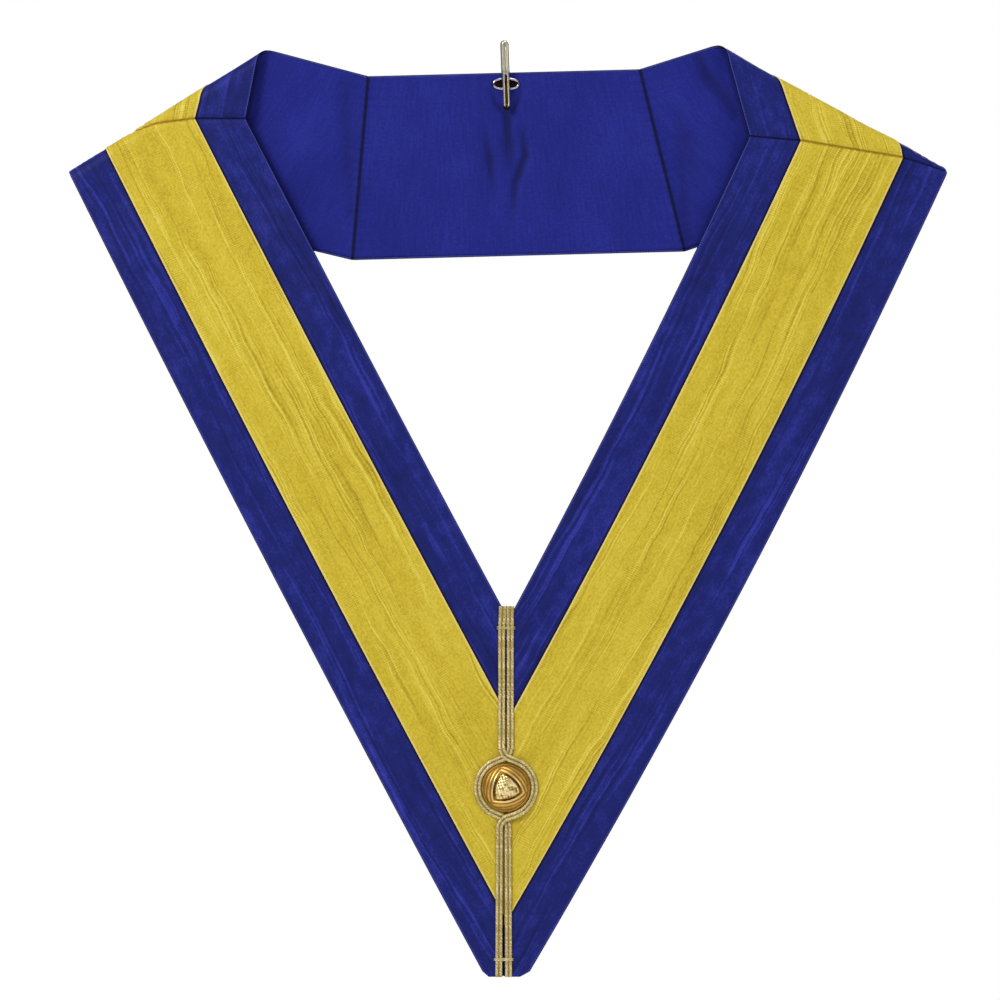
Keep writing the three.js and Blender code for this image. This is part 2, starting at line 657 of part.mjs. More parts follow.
function buttonGeometry() {
  const rim = BUTTON_DIAMETER / 2;
  const profile = [plan(0, 0), plan(rim, 0), plan(rim, BUTTON_RIM)];
  for (let i = DOME_STEPS; i >= 0; i--) {
    const radius = domeBase * Math.sin((Math.PI / 2) * (i / DOME_STEPS));
    profile.push(plan(radius, domeHeight(radius)));
  }
  let solid = toManifold(new THREE.LatheGeometry(profile, LATHE_SIDES));

  // Each side of the knot is an arc about a point beyond the middle, with more arcs outside it.
  const halfSide = KNOT_CORNER * Math.sin(Math.PI / KNOT_FOLDS);
  const bow = KNOT_SIDE - KNOT_CORNER * Math.cos(Math.PI / KNOT_FOLDS);
  const sideRadius = (halfSide * halfSide + bow * bow) / (2 * bow);
  const centreAway = sideRadius - KNOT_SIDE;
  const farthest = domeBase - KNOT_WIRE / 2;
  const section = new THREE.Shape(
    Array.from({ length: STRAND_SIDES }, (_, i) =>
      heading((2 * Math.PI * i) / STRAND_SIDES).multiplyScalar(KNOT_WIRE / 2),
    ),
  );
  for (let fold = 0; fold < KNOT_FOLDS; fold++) {
    const middle = radians(KNOT_TURN) + (2 * Math.PI * fold) / KNOT_FOLDS;
    for (let radius = sideRadius; radius - centreAway < farthest; radius += KNOT_STEP) {
      const reach = radius === sideRadius ? KNOT_CORNER : farthest;
      const spread = Math.acos(
        (centreAway ** 2 + radius ** 2 - reach ** 2) / (2 * centreAway * radius),
      );
      const points = Array.from({ length: STRAND_STEPS + 1 }, (_, i) => {
        const turn = middle + spread * ((2 * i) / STRAND_STEPS - 1);
        const spot = heading(turn).multiplyScalar(radius).addScaledVector(heading(middle), -centreAway);
        const level = domeHeight(spot.length()) + KNOT_PROUD - KNOT_WIRE / 2;
        return new THREE.Vector3(spot.x, level, -spot.y);
      });
      const strand = new THREE.ExtrudeGeometry(section, {
        steps: STRAND_STEPS,
        extrudePath: new THREE.CatmullRomCurve3(points),
        bevelEnabled: false,
      });
      solid = solid.add(toManifold(strand));
    }
  }
  return toGeometry(solid);
}

const button = addMetal("button", buttonGeometry(), GILT);
button.rotation.x = Math.PI + Math.atan(FRONT_SLOPE);
button.position.set(0, frontMiddle(-BUTTON_DEPTH) - STRIPE_FACE - GAP, -BUTTON_DEPTH);

export default group;
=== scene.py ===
# %% [markdown]
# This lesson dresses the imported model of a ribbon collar. The frame comes first: it holds the plain
# solids, in metres, with the middle of the eyelet at the back of the neck as the origin. Every piece
# made below stands for one of those solids and lies where it lies.

# %% Load the frame
import math
from collections import namedtuple
from functools import partial
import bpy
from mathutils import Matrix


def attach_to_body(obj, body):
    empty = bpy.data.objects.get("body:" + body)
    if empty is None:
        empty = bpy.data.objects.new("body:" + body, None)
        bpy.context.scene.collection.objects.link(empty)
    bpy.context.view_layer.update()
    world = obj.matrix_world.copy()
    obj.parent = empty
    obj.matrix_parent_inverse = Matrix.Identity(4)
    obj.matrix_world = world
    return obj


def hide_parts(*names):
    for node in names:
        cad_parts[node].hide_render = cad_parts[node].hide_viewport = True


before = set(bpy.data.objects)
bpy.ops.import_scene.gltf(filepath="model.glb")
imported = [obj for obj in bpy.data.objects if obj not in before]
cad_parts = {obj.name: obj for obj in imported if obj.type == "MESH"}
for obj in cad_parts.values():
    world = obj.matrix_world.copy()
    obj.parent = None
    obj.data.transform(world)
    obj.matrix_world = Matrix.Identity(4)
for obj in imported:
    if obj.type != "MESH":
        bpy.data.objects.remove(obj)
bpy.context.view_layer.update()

from types import SimpleNamespace

import bmesh
import bpy
import numpy as np

BODY = "root"
METRES = 0.001  # in a millimetre

# %% [markdown]
# The camera comes next, because everything else is judged through it. The photograph looks straight
# at the collar with hardly any perspective, so a long lens from three metres away is used, level
# with the middle of the picture. One pixel of it is 0.5404 mm on the ribbon, which fixes the lens.

# %% Camera
PIXEL = 0.5404  # millimetres
PICTURE = 1000  # pixels
EYELET_PIXEL = (506, 83)
VIEW_DISTANCE = 3.0
VIEW_DEPTH = -0.008  # where the ribbon lies, along Y
SENSOR = 36.0

camera_data = bpy.data.cameras.new("view")
camera_data.sensor_width = SENSOR
camera_data.lens = SENSOR * VIEW_DISTANCE / (PIXEL * PICTURE * METRES)
camera = bpy.data.objects.new("view", camera_data)
camera.location = (
    (PICTURE / 2 - EYELET_PIXEL[0]) * PIXEL * METRES,
    VIEW_DEPTH - VIEW_DISTANCE,
    (EYELET_PIXEL[1] - PICTURE / 2) * PIXEL * METRES,
)
camera.rotation_euler = (math.pi / 2, 0, 0)
bpy.context.scene.collection.objects.link(camera)
bpy.context.scene.camera = camera
print("lens:", round(camera_data.lens, 1), "mm")

# %% [markdown]
# Every shader below is built from nodes. One small function adds a node, sets its options and links
# or fills its sockets, and another starts a material with its one main shader. Colours are written
# as the sRGB hex values that a paint program shows, and one function turns them into the linear
# light that Blender calculates in.

# %% Helpers for colours and nodes
FULL_BYTE = 255
SRGB_KNEE = 0.04045  # below this the curve is straight
SRGB_STRAIGHT = 12.92
SRGB_SHIFT = 0.055
SRGB_POWER = 2.4


def linear(hex_colour):
    """An sRGB hex colour as linear red, green, blue and alpha."""
    parts = [int(hex_colour[i:i + 2], 16) / FULL_BYTE for i in (1, 3, 5)]
    curved = [((part + SRGB_SHIFT) / (1 + SRGB_SHIFT)) ** SRGB_POWER for part in parts]
    return (*[part / SRGB_STRAIGHT if part <= SRGB_KNEE else bent for part, bent in zip(parts, curved)], 1.0)


def add(tree, kind, inputs=(), stops=(), **settings):
    """Adds a shader node to a tree, with its settings. Inputs come in order or by name, as values to
    set, sockets to link, or nodes whose first output is linked. Stops are for a colour ramp."""
    made = tree.nodes.new("ShaderNode" + kind)
    for name, value in settings.items():
        setattr(made, name, value)
    for name, value in inputs.items() if isinstance(inputs, dict) else enumerate(inputs):
        source = value.outputs[0] if isinstance(value, bpy.types.Node) else value
        if isinstance(source, bpy.types.NodeSocket):
            tree.links.new(source, made.inputs[name])
        else:
            made.inputs[name].default_value = source
    for place, _ in stops[1:-1]:
        made.color_ramp.elements.new(place)
    for index, (place, colour) in enumerate(stops):
        made.color_ramp.elements[index].position = place
        made.color_ramp.elements[index].color = linear(colour)
    return made


def finish(name, sockets):
    """A material with one main shader, whose sockets are set by name, and its nodes."""
    made = bpy.data.materials.new(name)
    made.use_nodes = True
    tree = made.node_tree
    tree.nodes.clear()
    shader = add(tree, "BsdfPrincipled", sockets)
    add(tree, "OutputMaterial", [shader])
    return made, tree, shader


print("white is", linear("#FFFFFF"))

# %% [markdown]
# The studio is a pale paper floor below the collar, a white surround that the camera sees as a
# plain background, and soft lamps. The cloth is lit almost evenly, as in the photograph, and
# the surround is greyer below than above for everything but the camera, so that the metal
# has something to reflect.

# %% Studio
FLOOR_DEPTH = -0.75
FLOOR_RADIUS = 2.2
FLOOR_SIDES = 96
WHITE = linear("#FFFFFF")
SURROUND_SHADE = (-0.7, 0.8, 0.15, 0.5)  # from and to of a direction's height, and its light at each
LAMPS = {  # place, aim and side in metres, and power in watts
    "key": ((-1.15, -1.65, 0.85), (0, 0, -0.2), 0.75, 28.5),
    "fill": ((1.5, -1.5, 0.1), (0, 0, -0.2), 1.2, 7),
    "top": ((0.1, -0.3, 1.5), (0, 0, -0.1), 0.8, 8),
    "behind": ((0.9, 1.9, 0.6), (0, 0, -0.2), 1.2, 22),
}

scene = bpy.context.scene
scene.view_settings.view_transform = "Standard"
world = bpy.data.worlds.new("white_surround")
scene.world = world
world.use_nodes = True
sky = world.node_tree
sky.nodes.clear()
direction = add(sky, "SeparateXYZ", [add(sky, "TexCoord").outputs["Generated"]])
shade = add(sky, "MapRange", [direction.outputs["Z"], *SURROUND_SHADE])
seen = add(sky, "Background", [WHITE, 1.0])
lit = add(sky, "Background", [WHITE, shade])
ray = add(sky, "LightPath")
both = add(sky, "MixShader", [ray.outputs["Is Camera Ray"], lit, seen])
add(sky, "OutputWorld", [both])


def softbox(name, place, aim, side, watts):
    """A square area lamp that faces a point."""
    data = bpy.data.lights.new(name, "AREA")
    data.size = side
    data.energy = watts
    lamp = bpy.data.objects.new(name, data)
    lamp.location = place
    step = [to - start for to, start in zip(aim, place)]
    reach = math.hypot(step[0], step[1])
    lamp.rotation_euler = (math.atan2(reach, -step[2]), 0, math.atan2(step[1], step[0]) - math.pi / 2)
    scene.collection.objects.link(lamp)


for name, (place, aim, side, watts) in LAMPS.items():
    softbox(name, place, aim, side, watts)

turns = [2 * math.pi * i / FLOOR_SIDES for i in range(FLOOR_SIDES)]
floor_mesh = bpy.data.meshes.new("floor")
floor_mesh.from_pydata(
    [(FLOOR_RADIUS * math.cos(turn), FLOOR_RADIUS * math.sin(turn), FLOOR_DEPTH) for turn in turns],
    [],
    [list(range(FLOOR_SIDES))],
)
floor = bpy.data.objects.new("floor", floor_mesh)
paper = finish("pale_paper", {"Base Color": linear("#F1F0EC"), "Roughness": 0.9})[0]
floor_mesh.materials.append(paper)
scene.collection.objects.link(floor)

# %% [markdown]
# The collar is made of one watered ribbon four inches wide, with a two-inch ribbon in another colour
# sewn along it. These are the sizes that the solids were made from, in millimetres and degrees.

# %% Sizes of the collar
RIBBON_WIDTH = 101.6
STRIPE_WIDTH = 52
STRIPE_INSET = 25.3
BAND_LENGTH = 147
BAND_HEIGHT = 99.4
BAND_TILT = 1.47
EYELET_DROP = 6.2
SHOULDER_LENGTH = 100.2
ROLL_RADIUS = 5
NECK_DEPTH = 289.7
TIP_DEPTH = 483.4
MITRE_SHIFT = 1.4
TIP_WIDTH = 18.4
TIP_CLIP = 3
FRONT_SLOPE = 0.017
FRONT_EASE = 90
FRONT_START = 70
STRIPE_INNER = STRIPE_INSET / RIBBON_WIDTH
STRIPE_OUTER = (STRIPE_INSET + STRIPE_WIDTH) / RIBBON_WIDTH

LEFT = SimpleNamespace(
    name="left", hand=-1, reach=0.5075, seam_lean=6.45, turn=16.3, fold=0.603, slope=32.1,
    seam_slope=4, spread=1.005, narrow=0.034, curl=1.25, pinch=0.24,
    seam_bow=((0, 28, 49, 57, 110), (0, 2.0, 0.8, -1.0, -1.0)),
)
RIGHT = SimpleNamespace(
    name="right", hand=1, reach=0.4925, seam_lean=12.4, turn=16, fold=0.472, slope=28.6,
    seam_slope=8.5, spread=1.023, narrow=-0.014, curl=3.5, pinch=0.218,
    seam_bow=((0, 29, 83, 108), (0, 1.8, 0.9, -2.6)),
)
SIDES = (LEFT, RIGHT)
print("yellow ribbon from", round(STRIPE_INNER, 3), "to", round(STRIPE_OUTER, 3), "of the width")

# %% [markdown]
# Ribbon doesn't stretch, so it is laid out flat first and folded afterwards. Each side is drawn on a
# flat plan whose first number grows outwards and whose second is height. The front ribbon runs from
# the seam below the shoulder down to the mitre, and bends a little in its own plane, as the real
# one was eased round by the maker.

# %% Flat plan of one side
def heading(angle):
    """The unit step in a direction of the plan."""
    return np.array([math.cos(angle), math.sin(angle)])


HALVINGS = 45


def zero_of(falling, low, high):
    """Where falling functions pass zero, for arrays of them at once."""
    low = np.array(low, float)
    high = np.array(high, float)
    for _ in range(HALVINGS):
        middle = (low + high) / 2
        above = falling(middle) > 0
        low = np.where(above, middle, low)
        high = np.where(above, high, middle)
    return (low + high) / 2


def mitre_at(up):
    """How far right of the eyelet the mitre lies at a height."""
    share = (-up - NECK_DEPTH) / (TIP_DEPTH - NECK_DEPTH)
    return MITRE_SHIFT - 2 * MITRE_SHIFT * share


def lay_out(side):
    """Works out the points, angles and lengths of one side's plan."""
    tilt = side.hand * math.radians(BAND_TILT)
    side.band_top = heading(tilt) * side.reach * BAND_LENGTH + [0, EYELET_DROP]
    seam_lean = math.radians(side.seam_lean)
    down = heading(tilt + seam_lean - math.pi / 2) * BAND_HEIGHT / math.cos(seam_lean)
    side.band_foot = down + side.band_top
    back_angle = tilt + math.radians(side.turn)
    side.fold_point = heading(back_angle) * side.fold * SHOULDER_LENGTH + side.band_top
    slope = math.radians(side.slope)
    side.fold_normal = heading(math.pi / 2 - slope)
    front_angle = -2 * slope - back_angle
    side.seam_inner = heading(front_angle) * (1 - side.fold) * SHOULDER_LENGTH + side.fold_point
    side.width = RIBBON_WIDTH * side.spread
    neck_point = np.array([side.hand * MITRE_SHIFT, -NECK_DEPTH])
    fall = side.seam_inner - neck_point
    chord = float(np.hypot(*fall))
    side.chord_lean = math.atan2(fall[0], fall[1])
    curl = math.radians(side.curl)
    side.bend = curl / chord
    side.neck_edge = chord * curl / 2 / math.sin(curl / 2)
    side.seam_run = heading(-math.radians(side.seam_slope))


def front_spot(side, along, across):
    """The plan spots at lengths and widths of the front ribbon."""
    start = side.chord_lean - side.bend * side.neck_edge / 2
    turn = side.chord_lean + side.bend * (along - side.neck_edge / 2)
    inset = across * (1 - side.narrow * (1 - along / side.neck_edge))
    return np.stack([
        side.seam_inner[0] - (math.cos(start) - np.cos(turn)) / side.bend + inset * np.cos(turn),
        side.seam_inner[1] - (np.sin(turn) - math.sin(start)) / side.bend - inset * np.sin(turn),
    ], -1)


def above_seam(side, spots):
    """How far spots lie above the seam between shoulder and front, which bows a little."""
    step = spots - side.seam_inner
    bow = np.interp(step @ side.seam_run, *side.seam_bow)
    return side.seam_run[0] * step[..., 1] - side.seam_run[1] * step[..., 0] - bow


def seam_along(side, across):
    """The lengths at which lines of the front ribbon meet the seam."""
    reach = side.width + 0 * across
    return zero_of(lambda along: above_seam(side, front_spot(side, along, across)), -reach, reach)


def height(side, spots):
    """How far spots of the plan lie past the fold."""
    return (spots - side.fold_point) @ side.fold_normal


def turned(side, spots):
    """The same spots on the other side of the fold."""
    return spots - 2 * height(side, spots)[..., None] * side.fold_normal


def left_of(spots, start, end):
    """How far spots lie to the left of the line from one point to another."""
    run = (end - start) / np.hypot(*(end - start))
    step = spots - start
    return run[0] * step[..., 1] - run[1] * step[..., 0]


for each in SIDES:
    lay_out(each)
    print(each.name, "front seam starts at", np.round(each.seam_inner, 1))

# %% [markdown]
# Real cloth is never quite flat. A few long soft waves run through the whole collar, the band has
# creases where it hangs from its fitting, and each sewn seam is pulled in with small puckers across
# it. They are kept in functions of place, so that the ribbon, its lining and the stripe on it all
# move together and never pass through each other.

# %% Waves, creases and seams
WAVES = (  # run in X and Z as turns in a millimetre, start in turns, height in millimetres
    (1 / 96, 1 / 150, 0.1, 0.3),
    (1 / 61, -1 / 97, 0.43, 0.2),
    (-1 / 43, 1 / 67, 0.71, 0.09),
)
CREASES = (  # from and to as X and Z, depth towards the back at each end, half width
    (0.4, -13, 1.2, -31, 1.3, 1.2, 2.9),
    (1.2, -31, 2.6, -52, 1.2, 0.2, 3.8),
    (-13.0, -17, -8.9, -42, 0.1, 1.2, 2.7),
    (-8.9, -42, -6.2, -64, 1.2, 0.2, 2.6),
    (8.5, -14, 10.5, -39, 0.1, 1.3, 2.5),
    (10.5, -39, 5.2, -53, 1.4, 1.3, 2.5),
    (5.2, -53, 2.6, -80, 1.3, 0.1, 2.6),
    (-8.2, -3.4, -5.6, -10.0, 0.5, 0.9, 1.6),
    (-5.6, -10.0, -0.8, -16.5, 0.9, 1.0, 1.6),
    (8.2, -3.0, 6.2, -10.0, 0.5, 0.9, 1.6),
    (6.2, -10.0, 1.6, -16.5, 0.9, 1.0, 1.6),
)
SWELLS = ((-24, -30, -20, -78, -0.5, -0.5, 7.0), (30, -22, 24, -80, -0.6, -0.6, 8.0))
SHOULDER_CREASES = {
    "left": ((-122, -14, -98, -62, -0.8, -0.8, 7.0), (-88, 0, -84, -70, 0.6, 0.6, 5.0)),
    "right": (
        (101, 22, 109, 4, 0.5, 1.0, 3.8),
        (109, 4, 124, -16, 1.0, 0.7, 4.8),
        (112, -12, 122, -40, -0.3, -0.5, 5.0),
        (88, -4, 97, -30, 0.2, 0.7, 5.0),
        (97, -30, 104, -52, 0.7, 0.5, 8.0),
        (95, -34, 98, -86, 0.6, 0.5, 4.6),
    ),
}
CREASE_SHADE = 1.3  # depth that looks fully dark
EDGE_SHADE = 0.7  # the shade beside the neck edge of a front, on the lining behind it
EDGE_SHADE_REACH = 1.5
SEAM_OVERLAP = 0.3  # how far a shoulder runs into its front seam
SEAM_PINCH = 0.75
SEAM_HALF_WIDTH = 1.3
PUCKER = 0.24
PUCKER_REACH = 7.5
PUCKER_STEP = 4.3
PUCKER_WANDER = ((1.9, 5.3, 0), (1.1, 2.9, 1))  # how far the puckers wander, over what length, from where
CALM_REACH = 25  # how far from the band seam the waves die out
BACK_REACH = 10  # how far below the fold the creases of the back layer have grown in


def smooth(share):
    """Eases from 0 to 1."""
    share = np.clip(share, 0, 1)
    return share * share * (3 - 2 * share)


def wave(x, z):
    """Long soft waves of the cloth, in millimetres."""
    total = 0
    for run_x, run_z, start, size in WAVES:
        total = total + size * np.sin(2 * math.pi * (x * run_x + z * run_z + start))
    return total


def creased(creases, x, z):
    """How far creases push the cloth back at places. Where two meet, the deeper one counts."""
    deep = np.zeros(np.shape(x))
    raised = np.zeros(np.shape(x))
    for from_x, from_z, to_x, to_z, from_depth, to_depth, half_width in creases:
        run = np.array([to_x - from_x, to_z - from_z])
        share = np.clip(((x - from_x) * run[0] + (z - from_z) * run[1]) / (run @ run), 0, 1)
        away = np.hypot(x - from_x - share * run[0], z - from_z - share * run[1])
        push = (from_depth + (to_depth - from_depth) * share) * np.exp(-((away / half_width) ** 2))
        deep = np.maximum(deep, push)
        raised = np.minimum(raised, push)
    return deep + raised


def sewn(seam, across):
    """How a seam pulls the cloth in: seam is the distance from it and across the place along it."""
    wander = across
    for far, length, start in PUCKER_WANDER:
        wander = wander + far * np.sin(across / length + start)
    pucker = PUCKER * np.exp(-seam / PUCKER_REACH) * np.sin(2 * math.pi * wander / PUCKER_STEP)
    return pucker - SEAM_PINCH * np.exp(-((seam / SEAM_HALF_WIDTH) ** 2))


def fall_back(up):
    """How far the fronts lie back at a height."""
    hung = -FRONT_START - up
    eased = FRONT_SLOPE * hung * hung / (2 * FRONT_EASE)
    return np.where(hung <= 0, 0, np.where(hung < FRONT_EASE, eased, FRONT_SLOPE * (hung - FRONT_EASE / 2)))


print("waves of at most", sum(row[3] for row in WAVES), "mm")

# %% [markdown]
# The fold over the shoulder is a roll of the flat plan: the front layer hangs in front, the ribbon
# turns through half a circle, and the back layer runs to the neck band behind. Lift is how far a
# layer stands off the middle of the ribbon, towards its watered side.

# %% Folding the plan
def folded(side, spots, lift):
    """Puts plan spots over the shoulder, in millimetres."""
    past = height(side, spots) + math.pi * ROLL_RADIUS / 2
    roll_end = math.pi * ROLL_RADIUS
    from_band = left_of(spots, turned(side, side.band_top), turned(side, side.band_foot))
    still = np.where(past > 0, smooth(abs(from_band) / CALM_REACH), 1)
    lift = lift + wave(side.hand * spots[..., 0], spots[..., 1]) * still
    angle = np.clip(past, 0, roll_end) / ROLL_RADIUS
    beyond = np.maximum(past - roll_end, 0)
    radius = ROLL_RADIUS + lift
    shift = np.where(past > 0, radius * np.sin(angle) - past - beyond, 0)
    flat = spots + shift[..., None] * side.fold_normal
    x = side.hand * flat[..., 0]
    front = fall_back(spots[..., 1]) - 2 * ROLL_RADIUS - lift
    rolled = -ROLL_RADIUS - radius * np.cos(angle)
    back = creased(SHOULDER_CREASES[side.name], x, flat[..., 1]) * smooth(beyond / BACK_REACH)
    return np.stack([x, np.where(past > 0, rolled + back, front), flat[..., 1]], -1)


def hung_band(spots, lift):
    """Puts spots of the neck band in place, where X is already to the right."""
    x = spots[..., 0]
    z = spots[..., 1]
    return np.stack([x, creased(CREASES + SWELLS, x, z) + lift, z], -1)


# %% [markdown]
# One function turns a grid of places into a sheet. Solidify gives it the thickness of the cloth, and
# a narrow bevel rounds its cut edge, which would look like card if it were left sharp. Two
# attributes go into the mesh for the shaders: `lay` holds how far along and across the ribbon a
# point is and how far from its edge, and `near` holds its distances from the yellow ribbon's edge
# and from the nearest seam, all in millimetres, and how much a crease or an edge shades it.

# %% Sheets of cloth
EDGE_ROUNDING = 0.36  # share of a sheet's thickness
EDGE_SEGMENTS = 2
EDGE_TURN = 60  # degrees, from which an edge counts as cut


def attach(mesh, name, values):
    """Writes three numbers for each point of a mesh."""
    made = mesh.attributes.new(name, "FLOAT_VECTOR", "POINT")
    made.data.foreach_set("vector", np.asarray(values, np.float32).ravel())


def mesh_object(name, points, faces):
    """A smooth mesh object from points in millimetres."""
    mesh = bpy.data.meshes.new(name)
    mesh.from_pydata((np.asarray(points) * METRES).tolist(), [], [list(map(int, face)) for face in faces])
    mesh.shade_smooth()
    made = bpy.data.objects.new(name, mesh)
    scene.collection.objects.link(made)
    return made


def grid_faces(rows, columns, loop_rows=False, loop_columns=False):
    """The four-sided faces of a grid of points."""
    row = np.arange(rows if loop_rows else rows - 1)
    column = np.arange(columns if loop_columns else columns - 1)
    i, j = np.meshgrid(row, column, indexing="ij")
    after_i = (i + 1) % rows
    after_j = (j + 1) % columns
    corners = [i * columns + j, after_i * columns + j, after_i * columns + after_j, i * columns + after_j]
    return np.stack(corners, -1).reshape(-1, 4)


def sheet(name, place, spots, lift, thickness, bend, lay, near):
    """A sheet of cloth whose middle stands at a lift, with the bends that its seams give it."""
    rows, columns = spots.shape[:2]
    points = place(spots, lift + bend)
    outward = place(spots, lift + bend + 1) - points
    faces = grid_faces(rows, columns)
    corner = points.reshape(-1, 3)[faces]
    normal = np.cross(corner[:, 1] - corner[:, 0], corner[:, 3] - corner[:, 0])
    if (normal * outward.reshape(-1, 3)[faces[:, 0]]).sum() < 0:
        faces = faces[:, ::-1]
    made = mesh_object(name, points.reshape(-1, 3), faces)
    attach(made.data, "lay", lay)
    attach(made.data, "near", near)
    thick = made.modifiers.new("cloth thickness", "SOLIDIFY")
    thick.thickness = thickness * METRES
    thick.offset = 0
    rim = made.modifiers.new("rounded edge", "BEVEL")
    rim.width = thickness * EDGE_ROUNDING * METRES
    rim.segments = EDGE_SEGMENTS
    rim.limit_method = "ANGLE"
    rim.angle_limit = math.radians(EDGE_TURN)
    return made


print("edges are rounded to", EDGE_ROUNDING, "of the thickness")

# %% [markdown]
# Cloth hardly stretches, so each sheet was laid out on the flat plan. A small function gives each
# piece its body and its material, and hides the solids that it stands for.


def dress(made, material, nodes):
    """Gives a piece its body and its material, and hides the solids that it stands for."""
    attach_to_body(made, BODY)
    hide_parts(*nodes)
    made.data.materials.append(material)
    return made


# %% [markdown]
# The front ribbon is a grid between its neck edge and its outer edge. Every line of the grid starts at
# the seam and ends where it meets the mitre, the flat bottom of the tip or its clipped corner.

# %% Grid of a front
MITRE_PINCH = 0.3
MITRE_CLOSENESS = 0.7  # below 1, its sewn line is drawn wider than that of a seam


def front_grid(side, inner, outer, step):
    """Plan spots of a front between two shares of the ribbon's width, with their shares."""
    def mitre(up):
        return side.hand * mitre_at(up)

    def above_tip(along):
        spot = front_spot(side, along, side.width)
        return np.minimum(spot[..., 0] - mitre(spot[..., 1]), spot[..., 1] + TIP_DEPTH - TIP_CLIP)

    corner = front_spot(side, zero_of(above_tip, 0, 2 * TIP_DEPTH), side.width)
    bottom = np.array([mitre(-TIP_DEPTH) + TIP_WIDTH / 2, -TIP_DEPTH])
    clip = corner - bottom
    inward = np.array([-clip[1], clip[0]]) / np.hypot(*clip)

    shares = np.linspace(inner, outer, round((outer - inner) * side.width / step) + 1)
    across = shares * side.width

    def left_to_go(along):
        spot = front_spot(side, along, across)
        return np.minimum.reduce([
            spot[..., 0] - mitre(spot[..., 1]), spot[..., 1] + TIP_DEPTH, (spot - bottom) @ inward,
        ])

    start = seam_along(side, across)
    end = zero_of(left_to_go, start, start + 2 * TIP_DEPTH)
    rows = round(float((end - start).max()) / step) + 1
    along = start + (end - start) * np.linspace(0, 1, rows)[:, None]
    return front_spot(side, along, across), along, shares


def front_sheet(side, name, inner, outer, lift, thickness, step, start):
    """One layer of a front, and its plan spots."""
    spots, along, shares = front_grid(side, inner, outer, step)
    across = np.broadcast_to(shares * RIBBON_WIDTH, along.shape)
    edge = np.minimum(across - inner * RIBBON_WIDTH, outer * RIBBON_WIDTH - across)
    hem = np.maximum(STRIPE_INSET - across, across - STRIPE_INSET - STRIPE_WIDTH)
    seam = np.maximum(-above_seam(side, spots), 0)
    mitre = np.maximum(spots[..., 0] - side.hand * mitre_at(spots[..., 1]), 0)
    bend = sewn(seam, across) - MITRE_PINCH * np.exp(-((mitre / SEAM_HALF_WIDTH) ** 2))
    lay = np.stack([along + start, across, edge], -1)
    near = np.stack([hem, np.minimum(seam, mitre * MITRE_CLOSENESS), np.zeros_like(seam)], -1)
    return sheet(name, partial(folded, side), spots, lift, thickness, bend, lay, near), spots


print("tip is", TIP_WIDTH, "mm wide with its corners clipped by", TIP_CLIP, "mm")

# %% [markdown]
# The shoulder ribbon runs from the front seam, over the fold, to the seam of the neck band behind. The
# yellow ribbon on it was sewn on slightly out of true: its border is narrowest at the fold, so the
# stripe's inner edge is a line with a bend there.

# %% Grid of a shoulder
def band_spots(side, shares):
    """Plan spots on the band seam, folded out flat."""
    down = side.band_foot - side.band_top
    return turned(side, side.band_top + np.asarray(shares)[..., None] * down)


def front_seam_spots(side, shares):
    """Plan spots where the shoulder ends, just inside the front seam."""
    across = np.asarray(shares) * side.width
    upwards = np.array([-side.seam_run[1], side.seam_run[0]])
    return front_spot(side, seam_along(side, across), across) - SEAM_OVERLAP * upwards


def stripe_fold_spot(side):
    """Where the stripe's inner edge crosses the fold."""
    run = turned(side, side.band_top) - side.fold_point
    run = run / np.hypot(*run)
    across = np.array([-run[1], run[0]])
    return side.fold_point + across * math.copysign(side.pinch * RIBBON_WIDTH, across[0])


def stripe_inner_edge(side, shares_along):
    """The stripe's inner edge over the shoulder, at shares of the way to the band seam."""
    corners = [front_seam_spots(side, STRIPE_INNER), stripe_fold_spot(side), band_spots(side, STRIPE_INNER)]
    lengths = [np.hypot(*(b - a)) for a, b in zip(corners, corners[1:])]
    marks = [0, lengths[0] / sum(lengths), 1]
    return np.stack([np.interp(shares_along, marks, [corner[i] for corner in corners]) for i in (0, 1)], -1)


def shoulder_grid(side, inner, outer, step):
    """Plan spots of a shoulder between two shares of its width, from the front seam to the band."""
    shares = np.linspace(inner, outer, round((outer - inner) * side.width / step) + 1)
    near_end = front_seam_spots(side, shares)
    far_end = band_spots(side, shares)
    rows = round(float(np.linalg.norm(far_end - near_end, axis=-1).max()) / step) + 1
    way = np.linspace(0, 1, rows)
    return near_end + (far_end - near_end) * way[:, None, None], way, shares


